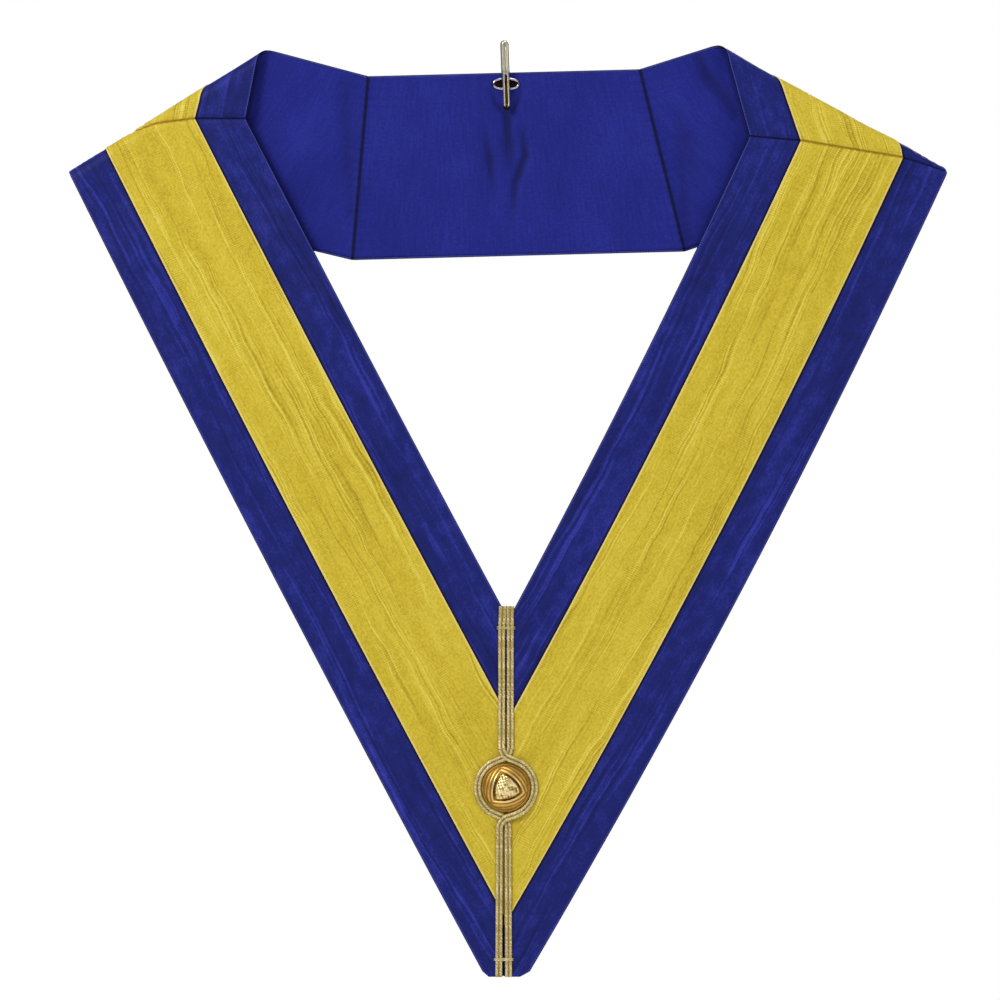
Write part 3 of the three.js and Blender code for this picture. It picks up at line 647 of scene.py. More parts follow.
def shoulder_sheet(side, name, inner, outer, lift, thickness, step, start):
    """One layer of a shoulder, and its plan spots."""
    spots, way, shares = shoulder_grid(side, inner, outer, step)
    edge_line = stripe_inner_edge(side, way)
    if inner == STRIPE_INNER:  # the yellow ribbon bends at the fold
        share_across = (shares - inner) / (outer - inner)
        spots = spots + (edge_line - spots[:, 0])[:, None] * (1 - share_across)[None, :, None]
    steps = np.linalg.norm(np.diff(spots, axis=0), axis=-1)
    along = np.vstack([np.zeros(len(shares)), np.cumsum(steps, 0)])
    across = np.broadcast_to(shares * RIBBON_WIDTH, along.shape)
    edge = np.minimum(across - inner * RIBBON_WIDTH, outer * RIBBON_WIDTH - across)
    before_fold = left_of(spots, front_seam_spots(side, STRIPE_INNER), stripe_fold_spot(side))
    past_fold = left_of(spots, stripe_fold_spot(side), band_spots(side, STRIPE_INNER))
    inner_hem = np.where(height(side, spots) > height(side, stripe_fold_spot(side)), past_fold, before_fold)
    outer_hem = left_of(spots, front_seam_spots(side, STRIPE_OUTER), band_spots(side, STRIPE_OUTER))
    band_seam = abs(left_of(spots, turned(side, side.band_top), turned(side, side.band_foot)))
    seam = np.maximum(np.minimum(above_seam(side, spots), band_seam), 0)
    behind = turned(side, spots)
    crease = creased(SHOULDER_CREASES[side.name], side.hand * behind[..., 0], behind[..., 1])
    neck_edge = (side.fold_point, side.seam_inner, front_spot(side, side.neck_edge / 2, 0.0))
    inside = np.minimum(-left_of(behind, *neck_edge[:2]), -left_of(behind, *neck_edge[1:]))
    beside = EDGE_SHADE * np.exp(-((inside / EDGE_SHADE_REACH) ** 2))
    shade = np.where(height(side, spots) > 0, np.maximum(crease / CREASE_SHADE, beside), 0)
    lay = np.stack([along + start, across, edge], -1)
    near = np.stack([np.maximum(inner_hem, -outer_hem), seam, shade], -1)
    return sheet(name, partial(folded, side), spots, lift, thickness, sewn(seam, across), lay, near), spots


print("stripe bends at", [np.round(stripe_fold_spot(side), 1).tolist() for side in SIDES])

# %% [markdown]
# The neck band hangs behind, lining towards the viewer. It is a plain four-cornered piece between the
# two band seams, so its grid is drawn between their ends.

# %% Grid of the neck band
def band_sheet(name, inner, outer, lift, thickness, step, start):
    """One layer of the neck band, and its spots with X to the right."""
    shares = np.linspace(inner, outer, round((outer - inner) * BAND_HEIGHT / step) + 1)
    ends = []
    for side in SIDES:
        spots = side.band_top + shares[:, None] * (side.band_foot - side.band_top)
        ends.append(spots * [side.hand, 1])
    way = np.linspace(0, 1, round(BAND_LENGTH / step) + 1)
    spots = ends[0] + (ends[1] - ends[0]) * way[:, None, None]
    across = np.broadcast_to(shares * RIBBON_WIDTH, spots.shape[:2])
    along = np.broadcast_to(way[:, None] * BAND_LENGTH, spots.shape[:2])
    edge = np.minimum(across - inner * RIBBON_WIDTH, outer * RIBBON_WIDTH - across)
    hem = np.maximum(STRIPE_INSET - across, across - STRIPE_INSET - STRIPE_WIDTH)
    ends = [(side.band_top * [side.hand, 1], side.band_foot * [side.hand, 1]) for side in SIDES]
    seam = np.minimum(*[abs(left_of(spots, *end)) for end in ends])
    lay = np.stack([along + start, across, edge], -1)
    shade = creased(CREASES, spots[..., 0], spots[..., 1]) / CREASE_SHADE
    near = np.stack([hem, seam, shade], -1)
    return sheet(name, hung_band, spots, lift, thickness, sewn(seam, across), lay, near), spots


print("band is", BAND_LENGTH, "x", BAND_HEIGHT, "mm")

# %% [markdown]
# Watered ribbon, or moire, is a ribbed rayon that is folded and pressed on itself, wet and hot. Where
# the ribs of the two layers cross at a slight angle they are flattened, and the flattened places
# shine as lines like the grain of wood, which keep together in bundles and drift slowly along the
# ribbon. To the eye that is long pale and dark lines, with patches between them where the cross ribs
# show. The shader bends the distance across the ribbon with slow noise first, and then draws noise
# on it that is very long and very narrow. The real ribs are half a millimetre apart, which is too
# fine to show, so they are drawn 1.2 mm apart.

# %% Patterns in millimetres
TURN = 2 * math.pi
RIB_STEP = 1.2
EASED = {"interpolation_type": "SMOOTHSTEP"}
TIMES_PLUS = {"operation": "MULTIPLY_ADD"}


def numbers_of(tree, name):
    """The three numbers that a mesh holds for each point, together and one by one."""
    whole = add(tree, "Attribute", attribute_name=name).outputs["Vector"]
    return whole, *add(tree, "SeparateXYZ", [whole]).outputs


def patchy(tree, vector, sizes, shift=(0.0, 0.0, 0.0), detail=2.0):
    """A cloudy pattern whose patches have sizes in millimetres. Size 0 leaves a direction out."""
    stretched = add(tree, "Mapping", {
        "Vector": vector, "Location": shift, "Scale": [1 / size if size else 0.0 for size in sizes],
    })
    return add(tree, "TexNoise", {"Vector": stretched, "Scale": 1.0, "Detail": detail})


print("the ribs turn", round(TURN / RIB_STEP, 2), "radians in each millimetre")

# %% [markdown]
# The shader is laid on in the order in which the ribbon was made: the bent lines and their bundles,
# the ribs, the colour, the edge that the loom left, and the dark lines where it was sewn. On the blue
# ribbon, painted shade darkens the cut edge and a strip beside the yellow ribbon.

# %% Watered rayon
RIB_BEND = 8.0
CLOTH_IOR = 1.53
TONES = (0.0, 0.5, 1.0)
WANDER = (230, 60, 0)  # sizes of patches along, across and through the ribbon
RIPPLE = (27, 20, 0)
BUNDLE_LENGTH = 150
RIB_WAVER = (9, 6, 0)
RIB_PATCH = (17, 10, 0)
BROAD = (90, 13, 0)
MOTTLE = (9, 6, 0)
GRAIN = (1.7, 1.2, 0)
BUNDLE_EDGE = (0.44, 0.6, 0.0, 1.0)  # from and to of a value, and what it becomes at each
PALE_LINE = (0.5, 0.66, 0.0, 1.0)
DARK_LINE = (0.5, 0.3, 0.0, 0.7)
STRUCK_RIB = (-1.0, 1.0, 0.5, 1.1)
LOOSE_RIB = (-1.0, 1.0, 0.6, 1.0)
RIB_SHARE = (0.42, 0.66, 0.1, 1.0)
SELVEDGE = (0.5, 1.2, 1.0, 0.0)
SEAM_LINE = (0.3, 1.2, 0.95, 0.0)
WORN = (-0.6, 1.0, 0.58, 0.42)
RIM_SHADE_REACH = (0.2, 0.6)
STRIPE_SHADOW_REACH = (0.6, 1.6)
MARK_RELIEF = 0.5


def watered(name, look):
    """Watered rayon in three colours from dark to pale, with a pale selvedge, dark sewn lines, and painted
    shade at the cut edge and beside the yellow ribbon.
    """
    made, tree, shader = finish(name, {"Roughness": 0.5, "IOR": CLOTH_IOR, "Specular IOR Level": 0.12})
    lay, along, across, from_edge = numbers_of(tree, "lay")
    _, from_hem, from_seam, _ = numbers_of(tree, "near")

    drifted = add(tree, "Math", [along, look.drift, across], **TIMES_PLUS)
    wander = patchy(tree, lay, WANDER, (look.seed, 0.0, 0.0), 1.0)
    bent = add(tree, "Math", [wander, look.bend, drifted], **TIMES_PLUS)
    ripple = patchy(tree, lay, RIPPLE, (0.0, look.seed, 0.0), 1.0)
    rippled = add(tree, "Math", [ripple, look.ripple, bent], **TIMES_PLUS)
    flow = add(tree, "CombineXYZ", [along, rippled, 0.0])
    fine = patchy(tree, flow, (look.line_length, look.line_step, 0), (0.0, 0.0, look.seed), 1.0)
    bundles = patchy(tree, flow, (BUNDLE_LENGTH, look.bundle, 0), (look.seed, 5.0, 0.0), 1.0)
    bundle = add(tree, "MapRange", [bundles, *BUNDLE_EDGE], **EASED)

    rib_turn = add(tree, "Math", [along, TURN / RIB_STEP], operation="MULTIPLY")
    rib_bend = add(tree, "Math", [patchy(tree, lay, RIB_WAVER), RIB_BEND, rib_turn], **TIMES_PLUS)
    rib = add(tree, "Math", [rib_bend], operation="SINE")
    pale_line = add(tree, "MapRange", [fine, *PALE_LINE], **EASED)
    on_ribs = add(tree, "MapRange", [rib, *STRUCK_RIB], **EASED)
    struck = add(tree, "Math", [pale_line, on_ribs], operation="MULTIPLY")
    dark_line = add(tree, "MapRange", [fine, *DARK_LINE], **EASED)
    lines = add(tree, "Math", [struck, dark_line], operation="SUBTRACT")
    mark = add(tree, "Math", [lines, bundle], operation="MULTIPLY")
    rib_patches = patchy(tree, lay, RIB_PATCH, (look.seed, 3.0, 0.0))
    rib_share = add(tree, "MapRange", [rib_patches, *RIB_SHARE], **EASED)
    ribs = add(tree, "Math", [rib, rib_share], operation="MULTIPLY")

    middle = 0.5 - (look.broad + look.mottle + look.grain) / 2
    tone = add(tree, "Math", [mark, look.lines, middle], **TIMES_PLUS)
    for part, weight in (
        (ribs, look.ribs),
        (patchy(tree, flow, BROAD, (look.seed, 1.0, 0.0)), look.broad),
        (patchy(tree, lay, MOTTLE, (look.seed, 2.0, 0.0)), look.mottle),
        (patchy(tree, lay, GRAIN, detail=3.0), look.grain),
    ):
        tone = add(tree, "Math", [part, weight, tone], **TIMES_PLUS)
    colour = add(tree, "ValToRGB", [tone], stops=list(zip(TONES, look.colours)))

    dotted = add(tree, "MapRange", [rib, -1.0, 1.0, look.dots, 1.0], **EASED)
    at_edge = add(tree, "MapRange", [from_edge, *SELVEDGE], **EASED)
    selvedge = add(tree, "Math", [at_edge, dotted], operation="MULTIPLY")
    edged = add(tree, "Mix", {0: selvedge, 6: colour, 7: linear(look.pale)}, data_type="RGBA").outputs[2]
    # painted shade: the colour is darkened at the cut edge and in a strip beside the yellow ribbon, as
    # strongly as look.hem says; the cut edge is also made rough
    at_rim = add(tree, "MapRange", [from_edge, *RIM_SHADE_REACH, look.hem, 0.0], **EASED)
    beside = add(tree, "MapRange", [from_hem, *STRIPE_SHADOW_REACH, look.hem, 0.0], **EASED)
    painted_edge_shade = add(tree, "Math", [at_rim, beside], operation="MAXIMUM")
    edge_shaded = add(tree, "Mix", {0: painted_edge_shade, 6: edged, 7: linear(look.dark)}, data_type="RGBA").outputs[2]
    at_seam = add(tree, "MapRange", [from_seam, *SEAM_LINE], **EASED)
    loose = add(tree, "MapRange", [rib, *LOOSE_RIB], **EASED)
    stitched = add(tree, "Math", [at_seam, loose], operation="MULTIPLY")
    sewn_and_shaded = add(tree, "Mix", {0: stitched, 6: edge_shaded, 7: linear(look.dark)}, data_type="RGBA").outputs[2]
    tree.links.new(sewn_and_shaded, shader.inputs["Base Color"])

    worn = add(tree, "MapRange", [mark, *WORN], **EASED)
    dull = add(tree, "Math", [at_rim, at_seam], operation="MAXIMUM")
    rough = add(tree, "Math", [worn, dull], operation="MAXIMUM")
    tree.links.new(rough.outputs[0], shader.inputs["Roughness"])
    raised = add(tree, "Math", [mark, MARK_RELIEF, ribs], **TIMES_PLUS)
    surface = add(tree, "Bump", {"Height": raised, "Strength": 0.5, "Distance": look.relief * METRES})
    tree.links.new(surface.outputs[0], shader.inputs["Normal"])
    return made


# dark colours the sewn lines and the painted shade; hem is how strong that painted shade is
watered_blue = watered("watered_rayon_blue", SimpleNamespace(
    colours=("#0A0F42", "#151D67", "#30359A"), pale="#4A4FA6", dark="#05072A", seed=3.1,
    drift=0.01, bend=18.0, ripple=4.0, line_length=130, line_step=1.9, bundle=8, dots=0.1,
    lines=0.34, ribs=0.05, broad=0.62, mottle=0.62, grain=0.6, hem=1.0, relief=0.04,
))
watered_yellow = watered("watered_rayon_yellow", SimpleNamespace(
    colours=("#947B1C", "#C1AA2E", "#DACA58"), pale="#DEC97E", dark="#86600E", seed=8.4,
    drift=0.01, bend=20.0, ripple=6.0, line_length=80, line_step=0.84, bundle=6, dots=0.5,
    lines=0.4, ribs=0.1, broad=0.45, mottle=0.34, grain=0.8, hem=0.0, relief=0.07,
))
print("made", watered_blue.name, "and", watered_yellow.name)

# %% [markdown]
# The lining is a plain cotton sateen. Its threads are too fine to see one by one, but they run across
# the ribbon and some are slightly thicker than others, which the eye takes as faint upright streaks.

# %% Cotton sateen
STREAK = (1.1, 14, 0)  # sizes of patches, as above
SPECK = (1.3, 1.3, 0)
LINING_BROAD = (30, 60, 0)
LINING_SEAM_LINE = (0.35, 1.4, 0.85, 0.0)
LINING_SHADE = (0.05, 1.0, 0.0, 0.6)
LINING_RELIEF = 0.08  # millimetres
LINING_DARK = 0.75
STREAK_WEIGHT = 0.7
PATCH_WEIGHT = 0.9


def sateen(name, colours, dark):
    """Plain lining cloth in three colours from dark to pale, with dark sewn lines and painted shade in its
    creases and beside the neck edges of the fronts.
    """
    made, tree, shader = finish(name, {"Roughness": 0.72, "IOR": CLOTH_IOR, "Specular IOR Level": 0.1})
    lay = numbers_of(tree, "lay")[0]
    _, _, from_seam, crease = numbers_of(tree, "near")
    tone = add(tree, "Math", [patchy(tree, lay, STREAK), STREAK_WEIGHT, -LINING_DARK], **TIMES_PLUS)
    for part in (patchy(tree, lay, SPECK, (4.0, 0.0, 0.0)), patchy(tree, lay, LINING_BROAD, (9.0, 0.0, 0.0))):
        tone = add(tree, "Math", [part, PATCH_WEIGHT, tone], **TIMES_PLUS)
    colour = add(tree, "ValToRGB", [tone], stops=list(zip(TONES, colours)))
    at_seam = add(tree, "MapRange", [from_seam, *LINING_SEAM_LINE], **EASED)
    # painted shade: the colour is darkened in the creases and beside the neck edge of a front
    painted_shade = add(tree, "MapRange", [crease, *LINING_SHADE], **EASED)
    shaded = add(tree, "Math", [at_seam, painted_shade], operation="MAXIMUM")
    sewn_and_shaded = add(tree, "Mix", {0: shaded, 6: colour, 7: linear(dark)}, data_type="RGBA").outputs[2]
    tree.links.new(sewn_and_shaded, shader.inputs["Base Color"])
    surface = add(tree, "Bump", {"Height": tone, "Strength": 0.5, "Distance": LINING_RELIEF * METRES})
    tree.links.new(surface.outputs[0], shader.inputs["Normal"])
    return made


lining_blue = sateen("cotton_sateen_blue", ("#151A66", "#1C2279", "#252B8A"), "#0B0D2C")
print("made", lining_blue.name)

# %% [markdown]
# Now the cloth can be laid up. The solids are thicker and stand further apart than real cloth does,
# because the checks want them clear of each other. Here the stiffened ribbon is 0.9 mm thick, the
# yellow one lies on it, and the lining lies behind it and stops a little short of the edges.

# %% Laying up the cloth
RIBBON_THICKNESS = 0.9
STRIPE_THICKNESS = 0.36
STRIPE_LIFT = 0.68
STRIPE_EASE = 1.02  # how much wider the yellow ribbon of a shoulder was cut, for its bend
LINING_THICKNESS = 0.6
LINING_LIFT = -0.88
LINING_INSET = 0.014  # share of the ribbon's width
FINER = 0.9  # grid steps in millimetres, the finest where creases show
FIRM = 1.2
FINE = 1.6
COARSE = 2.4
SIDE_START = 900.0  # how far along its roll the ribbon of the second side was cut
SHOULDER_START = 450.0
BAND_START = 2000.0

Layer = namedtuple("Layer", "ending slot material solid shares lift thickness cut")
LINED = (LINING_INSET, 1 - LINING_INSET)
LINED_CUT = RIBBON_WIDTH * (1 - 2 * LINING_INSET)
STRIPE = (STRIPE_INNER, STRIPE_OUTER)
RIBBON = Layer("_ribbon", "blue_ribbon", watered_blue, "", (0, 1), 0, RIBBON_THICKNESS, RIBBON_WIDTH)
BACKING = (LINED, LINING_LIFT, LINING_THICKNESS, LINED_CUT)
LINING = Layer("_lining_cloth", "blue_lining", lining_blue, "_lining", *BACKING)
FRONT_LINING = Layer("_lining_cloth", "blue_lining", lining_blue, "", *BACKING)
FACING = ("_yellow", "yellow_ribbon", watered_yellow, "_stripe", STRIPE, STRIPE_LIFT, STRIPE_THICKNESS)
YELLOW = Layer(*FACING, STRIPE_WIDTH)
SHOULDER_YELLOW = Layer(*FACING, STRIPE_WIDTH * STRIPE_EASE)


def lay_up(make, part, layers, start):
    """All that follow the ribbon lie on it."""
    for cloth, step in layers:
        name = part + cloth.ending
        made, spots = make(name, *cloth.shares, cloth.lift, cloth.thickness, step, start)
        dress(made, cloth.material, [part + cloth.solid])


for index, side in enumerate(SIDES):
    lay_up(
        partial(shoulder_sheet, side), side.name + "_shoulder",
        ((RIBBON, FIRM), (LINING, FIRM), (SHOULDER_YELLOW, FIRM)),
        SIDE_START * index + SHOULDER_START,
    )
    lay_up(
        partial(front_sheet, side), side.name + "_front",
        ((RIBBON, FINE), (FRONT_LINING, COARSE), (YELLOW, FINE)),
        SIDE_START * index,
    )
lay_up(
    band_sheet, "neck_band", ((RIBBON, FINER), (LINING, FINER), (YELLOW, FINE)),
    BAND_START,
)

# %% [markdown]
# The braid is a flat soutache of metal thread: two cores side by side, with the thread wound round each
# in a figure of eight. It is sewn down along the mitre as two cords that cross above the button, go
# round it and cross back below. Its way is a smooth curve through a few points, and its section
# follows that curve lying flat on the cloth. The winding is real relief, not a picture of it.

# %% Way of the braid
BRAID_WIDTH = 3.8
BRAID_THICKNESS = 1.5
BRAID_START = 7
BRAID_START_GAP = 0.34
BRAID_START_SHIFT = 0.3
BRAID_FLARE = 0.1  # how much wider the cut ends at the neck are
BRAID_FLARE_LENGTH = 20
BRAID_GAP = 0.8
BRAID_SPREAD = 0.7
BRAID_SHIFT = 1.25
BRAID_APART = 4.6
START_HOLD = 1  # above the mitre's top, to which the cords run side by side
START_ROOM = 6  # below it, where they have come apart
BEND_ROOM = 5  # from the straight run to the bend round the button
BEND_START = (0.92, 0.6)  # share of the spread where the bend starts, and how far past its room
BEND_END = (0.96, 0.4)
BUTTON_DIAMETER = 26.4
BUTTON_DEPTH = 380.9
BUTTON_CLEARANCE = 0.4
UPPER_CROSSING = 17.0
LOWER_CROSSING = 16.8
LOOP_ENDS = (17, 161)  # degrees from the top, where the cords are round the button
LOOP_STEPS = 8
CROSSING_REACH = 3.2
CROSSING_RAMP = 6
WINDING = 1.55  # from one turn of thread to the next
SPLINE_STEPS = 80
BRAID_STEP = 0.25
BRAID_SIDES = 28


def smooth_line(points, step):
    """Even steps along a centripetal spline through points."""
    points = np.asarray(points, float)
    padded = np.vstack([2 * points[0] - points[1], points, 2 * points[-1] - points[-2]])
    share = np.linspace(0, 1, SPLINE_STEPS, endpoint=False)[:, None]
    runs = []
    for before, start, end, after in zip(padded, padded[1:], padded[2:], padded[3:]):
        first, middle, last = [
            math.sqrt(np.linalg.norm(b - a)) for a, b in ((before, start), (start, end), (end, after))
        ]
        leave = (start - before) / first - (end - before) / (first + middle) + (end - start) / middle
        arrive = (end - start) / middle - (after - start) / (middle + last) + (after - end) / last
        leave = leave * middle
        arrive = arrive * middle
        square = 3 * (end - start) - 2 * leave - arrive
        cube = 2 * (start - end) + leave + arrive
        runs.append(start + leave * share + square * share ** 2 + cube * share ** 3)
    line = np.vstack([*runs, points[-1:]])
    lengths = np.concatenate([[0], np.cumsum(np.linalg.norm(np.diff(line, axis=0), axis=1))])
    wanted = np.linspace(0, lengths[-1], round(lengths[-1] / step) + 1)
    return np.stack([np.interp(wanted, lengths, line[:, i]) for i in range(line.shape[1])], -1)


def mitre_depth(share):
    """The depths at which a line of both fronts meets the mitre."""
    depths = []
    for side in SIDES:
        across = share * side.width

        def left_to_go(along, side=side, across=across):
            spot = front_spot(side, along, across)
            return spot[..., 0] - side.hand * mitre_at(spot[..., 1])

        met = zero_of(left_to_go, 0, 2 * TIP_DEPTH)
        depths.append(-float(front_spot(side, met, across)[1]))
    return depths


STRIPE_TOP = min(mitre_depth(STRIPE_INNER))
STRIPE_END = max(mitre_depth(STRIPE_OUTER))
BLUE_FACE = RIBBON_THICKNESS / 2
YELLOW_FACE = STRIPE_LIFT + STRIPE_THICKNESS / 2
YELLOW_LEAD = 4


def cloth_face(depth):
    """How far the cloth under the braid stands off the middle of the ribbon."""
    past = np.minimum(depth - STRIPE_TOP, STRIPE_END - depth)
    return BLUE_FACE + (YELLOW_FACE - BLUE_FACE) * smooth(past / YELLOW_LEAD + 1)


def on_cloth(x, z, lift):
    """Points at a lift off the cloth of the fronts."""
    y = fall_back(z) - 2 * ROLL_RADIUS - wave(x, z) - lift
    return np.stack([x, y, z], -1)


def braid_way(hand):
    """The way of one cord and how much it is lifted over the other."""
    radius = BUTTON_DIAMETER / 2 + BUTTON_CLEARANCE + BRAID_WIDTH / 2
    upper = BUTTON_DEPTH - UPPER_CROSSING
    lower = BUTTON_DEPTH + LOWER_CROSSING
    angles = np.radians(np.linspace(*LOOP_ENDS, LOOP_STEPS + 1))
    apart = BRAID_APART / 2
    start_apart = (BRAID_WIDTH + BRAID_START_GAP) / 2
    low_apart = (BRAID_WIDTH + BRAID_GAP) / 2
    tip_apart = low_apart + BRAID_SPREAD / 2
    room = apart + BRAID_WIDTH / 2
    route = [
        (hand * start_apart + BRAID_START_SHIFT, NECK_DEPTH - BRAID_START),
        (hand * start_apart + BRAID_START_SHIFT / 2, NECK_DEPTH - START_HOLD),
        (hand * apart, NECK_DEPTH + START_ROOM),
        (hand * apart, (NECK_DEPTH + upper) / 2),
        (hand * apart, upper - room - BEND_ROOM),
        (hand * apart * BEND_START[0], upper - room + BEND_START[1]),
        (0, upper),
        *[(-hand * radius * math.sin(angle), BUTTON_DEPTH - radius * math.cos(angle)) for angle in angles],
        (-BRAID_SHIFT / 2, lower),
        (hand * low_apart * BEND_END[0] - BRAID_SHIFT, lower + room - BEND_END[1]),
        (hand * low_apart - BRAID_SHIFT, lower + room + BEND_ROOM),
        (hand * (low_apart + tip_apart) / 2 - BRAID_SHIFT, (lower + TIP_DEPTH) / 2),
        (hand * tip_apart - BRAID_SHIFT, TIP_DEPTH),
    ]
    flat = smooth_line(route, BRAID_STEP)
    away = np.minimum(abs(flat[:, 1] - upper), abs(flat[:, 1] - lower))
    return flat, smooth(1 - (away - CROSSING_REACH) / CROSSING_RAMP)


print("stripe meets the mitre from", round(STRIPE_TOP, 1), "to", round(STRIPE_END, 1), "mm down")

# %% [markdown]
# A cord is its section carried along that way. The section has two round cores with a groove between
# them, and the turns of thread widen and thicken it, a little unevenly, as real thread does.

# %% Braid
GROOVE_FLOOR = 0.3  # share of the thickness that is left in the groove
SLOW_DRIFT = (0.3, 0.9)  # how far the turns stray, and how fast
QUICK_DRIFT = (0.25, 2.3)
WINDING_LEAN = 0.9  # how far a turn runs on along the cord while it crosses a core
WINDING_ROUNDNESS = 0.7  # below 1, the turns are full and the valleys between them narrow
WINDING_WIDENS = 0.05
WINDING_LOW = 0.86  # share of the thickness between two turns
WINDING_RISE = 0.26
GROOVE_REACH = 0.55  # share of the half width over which the shade of the groove fades
GROOVE_TONE = 1.8
RIM_FROM = 0.8  # share of the half width from which the cord's side is darkened, as painted shade
RIM_TONE = 4


def closed_object(name, points, faces):
    """A mesh object whose faces all look outwards."""
    made = mesh_object(name, points, faces)
    work = bmesh.new()
    work.from_mesh(made.data)
    bmesh.ops.recalc_face_normals(work, faces=work.faces)
    work.to_mesh(made.data)
    work.free()
    return made


def swept_points(way, across, out, profile):
    """Points of a profile carried along a way. Its numbers are steps across and steps out."""
    return way[:, None] + profile[..., :1] * across[:, None] + profile[..., 1:] * out[:, None]


def swept_faces(steps, sides, ring=False):
    """Faces of a swept bar, closed at its ends or into a ring."""
    faces = grid_faces(steps, sides, ring, True).tolist()
    if not ring:
        faces += [list(range(sides)), list(range((steps - 1) * sides, steps * sides))]
    return faces


def unit(vectors):
    """Vectors of length one."""
    return vectors / np.linalg.norm(vectors, axis=-1, keepdims=True)


def braid(name, hand, over):
    """One cord of the braid, with its winding."""
    flat, crossing = braid_way(hand)
    lift = cloth_face(flat[:, 1]) + BRAID_THICKNESS / 2 + over * BRAID_THICKNESS * crossing
    way = on_cloth(flat[:, 0], -flat[:, 1], lift)
    run = unit(np.gradient(way, axis=0))
    towards_eye = np.array([0.0, -1.0, 0.0])
    across = unit(np.cross(run, towards_eye))
    out = unit(np.cross(across, run))
    angle = np.linspace(0, TURN, BRAID_SIDES, endpoint=False)
    side = np.cos(angle)
    core = np.sqrt(np.clip(1 - (abs(side) * 2 - 1) ** 2, 0, 1))
    core = np.where(abs(side) < 0.5, np.maximum(core, GROOVE_FLOOR), core)
    along = np.arange(len(way))[:, None] * BRAID_STEP
    slow = SLOW_DRIFT[0] * np.sin(along * SLOW_DRIFT[1] + hand)
    uneven = along + slow + QUICK_DRIFT[0] * np.sin(along * QUICK_DRIFT[1])
    lean = np.sign(side) * (abs(side) - 0.5) * WINDING_LEAN
    twist = abs(np.sin(math.pi * (uneven / WINDING + lean))) ** WINDING_ROUNDNESS
    flare = 1 + BRAID_FLARE * smooth(1 - along / BRAID_FLARE_LENGTH)
    width = side * (BRAID_WIDTH / 2) * (1 + WINDING_WIDENS * (twist - 0.5)) * flare
    wound_on = WINDING_LOW + WINDING_RISE * twist
    thick = np.sign(np.sin(angle)) * core * (BRAID_THICKNESS / 2) * wound_on
    profile = np.stack([width, thick], -1)
    points = swept_points(way, across, out, profile)
    made = closed_object(name, points.reshape(-1, 3), swept_faces(len(way), BRAID_SIDES))
    # painted shade in the groove between the cores and at the cord's sides, kept for the shader
    rim = 1 - RIM_TONE * np.clip(abs(side) - RIM_FROM, 0, 1)
    groove_and_side_shade = np.where(abs(side) < GROOVE_REACH, GROOVE_TONE * abs(side), rim)
    wound = np.stack(np.broadcast_arrays(twist, groove_and_side_shade, along), -1)
    attach(made.data, "wound", wound)
    return made


# %% [markdown]
# Metal thread is a thin gilt foil wound on a cotton core, so it is neither quite metal nor quite cloth.
# Its colour has painted highlight on the crest of each turn and painted shade, dark olive, in the
# valleys, in the groove between the cores and at the cord's sides.

# %% Metal thread
THREAD_SPECK = (0.4, 0.5, 1.1)  # in turns, in cores and in millimetres along the cord
THREAD_PATCH = (1.5, 1.5, 4.0)
GROOVE_SHADE = (0.1, 0.75, -0.34, 0.12)  # from and to of a value, and what it becomes at each
PATCH_SHARE = (0.4, 0.62, 0.0, 0.5)
TURN_LIGHT = 0.3
THREAD_DARK = 0.28
SPECK_LIGHT = 1.5
GOLD_STOPS = ((0.0, "#3A2B0A"), (0.3, "#7A642C"), (0.62, "#AC9550"), (1.0, "#EADCAC"))


def metal_thread(name, stops, olive):
    """Wound gilt thread, with painted highlight on its turns and painted shade in its valleys and in the
    groove between its two cores.
    """
    made, tree, shader = finish(name, {"Roughness": 0.45, "Metallic": 0.35})
    wound, twist, core, _ = numbers_of(tree, "wound")
    groove = add(tree, "MapRange", [core, *GROOVE_SHADE], **EASED)
    # painted highlight on the crest of each turn, over the painted shade of the groove
    turn = add(tree, "Math", [twist, TURN_LIGHT, groove], **TIMES_PLUS)
    lowered = add(tree, "Math", [turn, -THREAD_DARK], operation="ADD")
    worn = add(tree, "Math", [patchy(tree, wound, THREAD_SPECK), SPECK_LIGHT, lowered], **TIMES_PLUS)
    patches = patchy(tree, wound, THREAD_PATCH, (3.0, 0.0, 0.0))
    patch = add(tree, "MapRange", [patches, *PATCH_SHARE], **EASED)
    gold = add(tree, "ValToRGB", [worn], stops=stops)
    tinted = add(tree, "Mix", {0: patch, 6: gold, 7: linear(olive)}, data_type="RGBA").outputs[2]
    tree.links.new(tinted, shader.inputs["Base Color"])
    return made


gold_thread = metal_thread("gilt_metal_thread", GOLD_STOPS, "#8E7C34")
for name, hand, over in (("braid_over", -1, 1), ("braid_under", 1, 0)):
    made = braid(name + "_cord", hand, over)
    dress(made, gold_thread, [name])
    print(made.name, len(made.data.polygons), "faces")

# %% [markdown]
# Two short bars of the same thread hold both cords down, one near the neck and one near the tip. Each
# is a few turns of thread laid over the cords, which dip into the cloth at their ends.

# %% Thread bars over the braid
TACK_DEPTHS = (294.5, 473.9)
TACK_OVERHANG = 0.7
TACK_THREAD = 0.5
TACK_TURNS = (-0.5, 0.0, 0.5)
TACK_SHOULDER = 0.75  # height of a thread beside the cords, as a share of its top
TACK_RUN = 0.8  # share of the overhang in which it climbs
TACK_DIP = 0.7  # share of the cords' thickness to which it dips between them
TACK_WAVER = (0.12, 2.1, 9)  # how far it strays, how fast, and how far that moves at each turn
TACK_WOUND = (0.75, 0.6)  # the light of a turn and of a core, as on the braid
ROUND_SIDES = 10


def circle(radius, sides):
    """A round profile."""
    angle = np.linspace(0, TURN, sides, endpoint=False)
    return radius * np.stack([np.cos(angle), np.sin(angle)], -1)


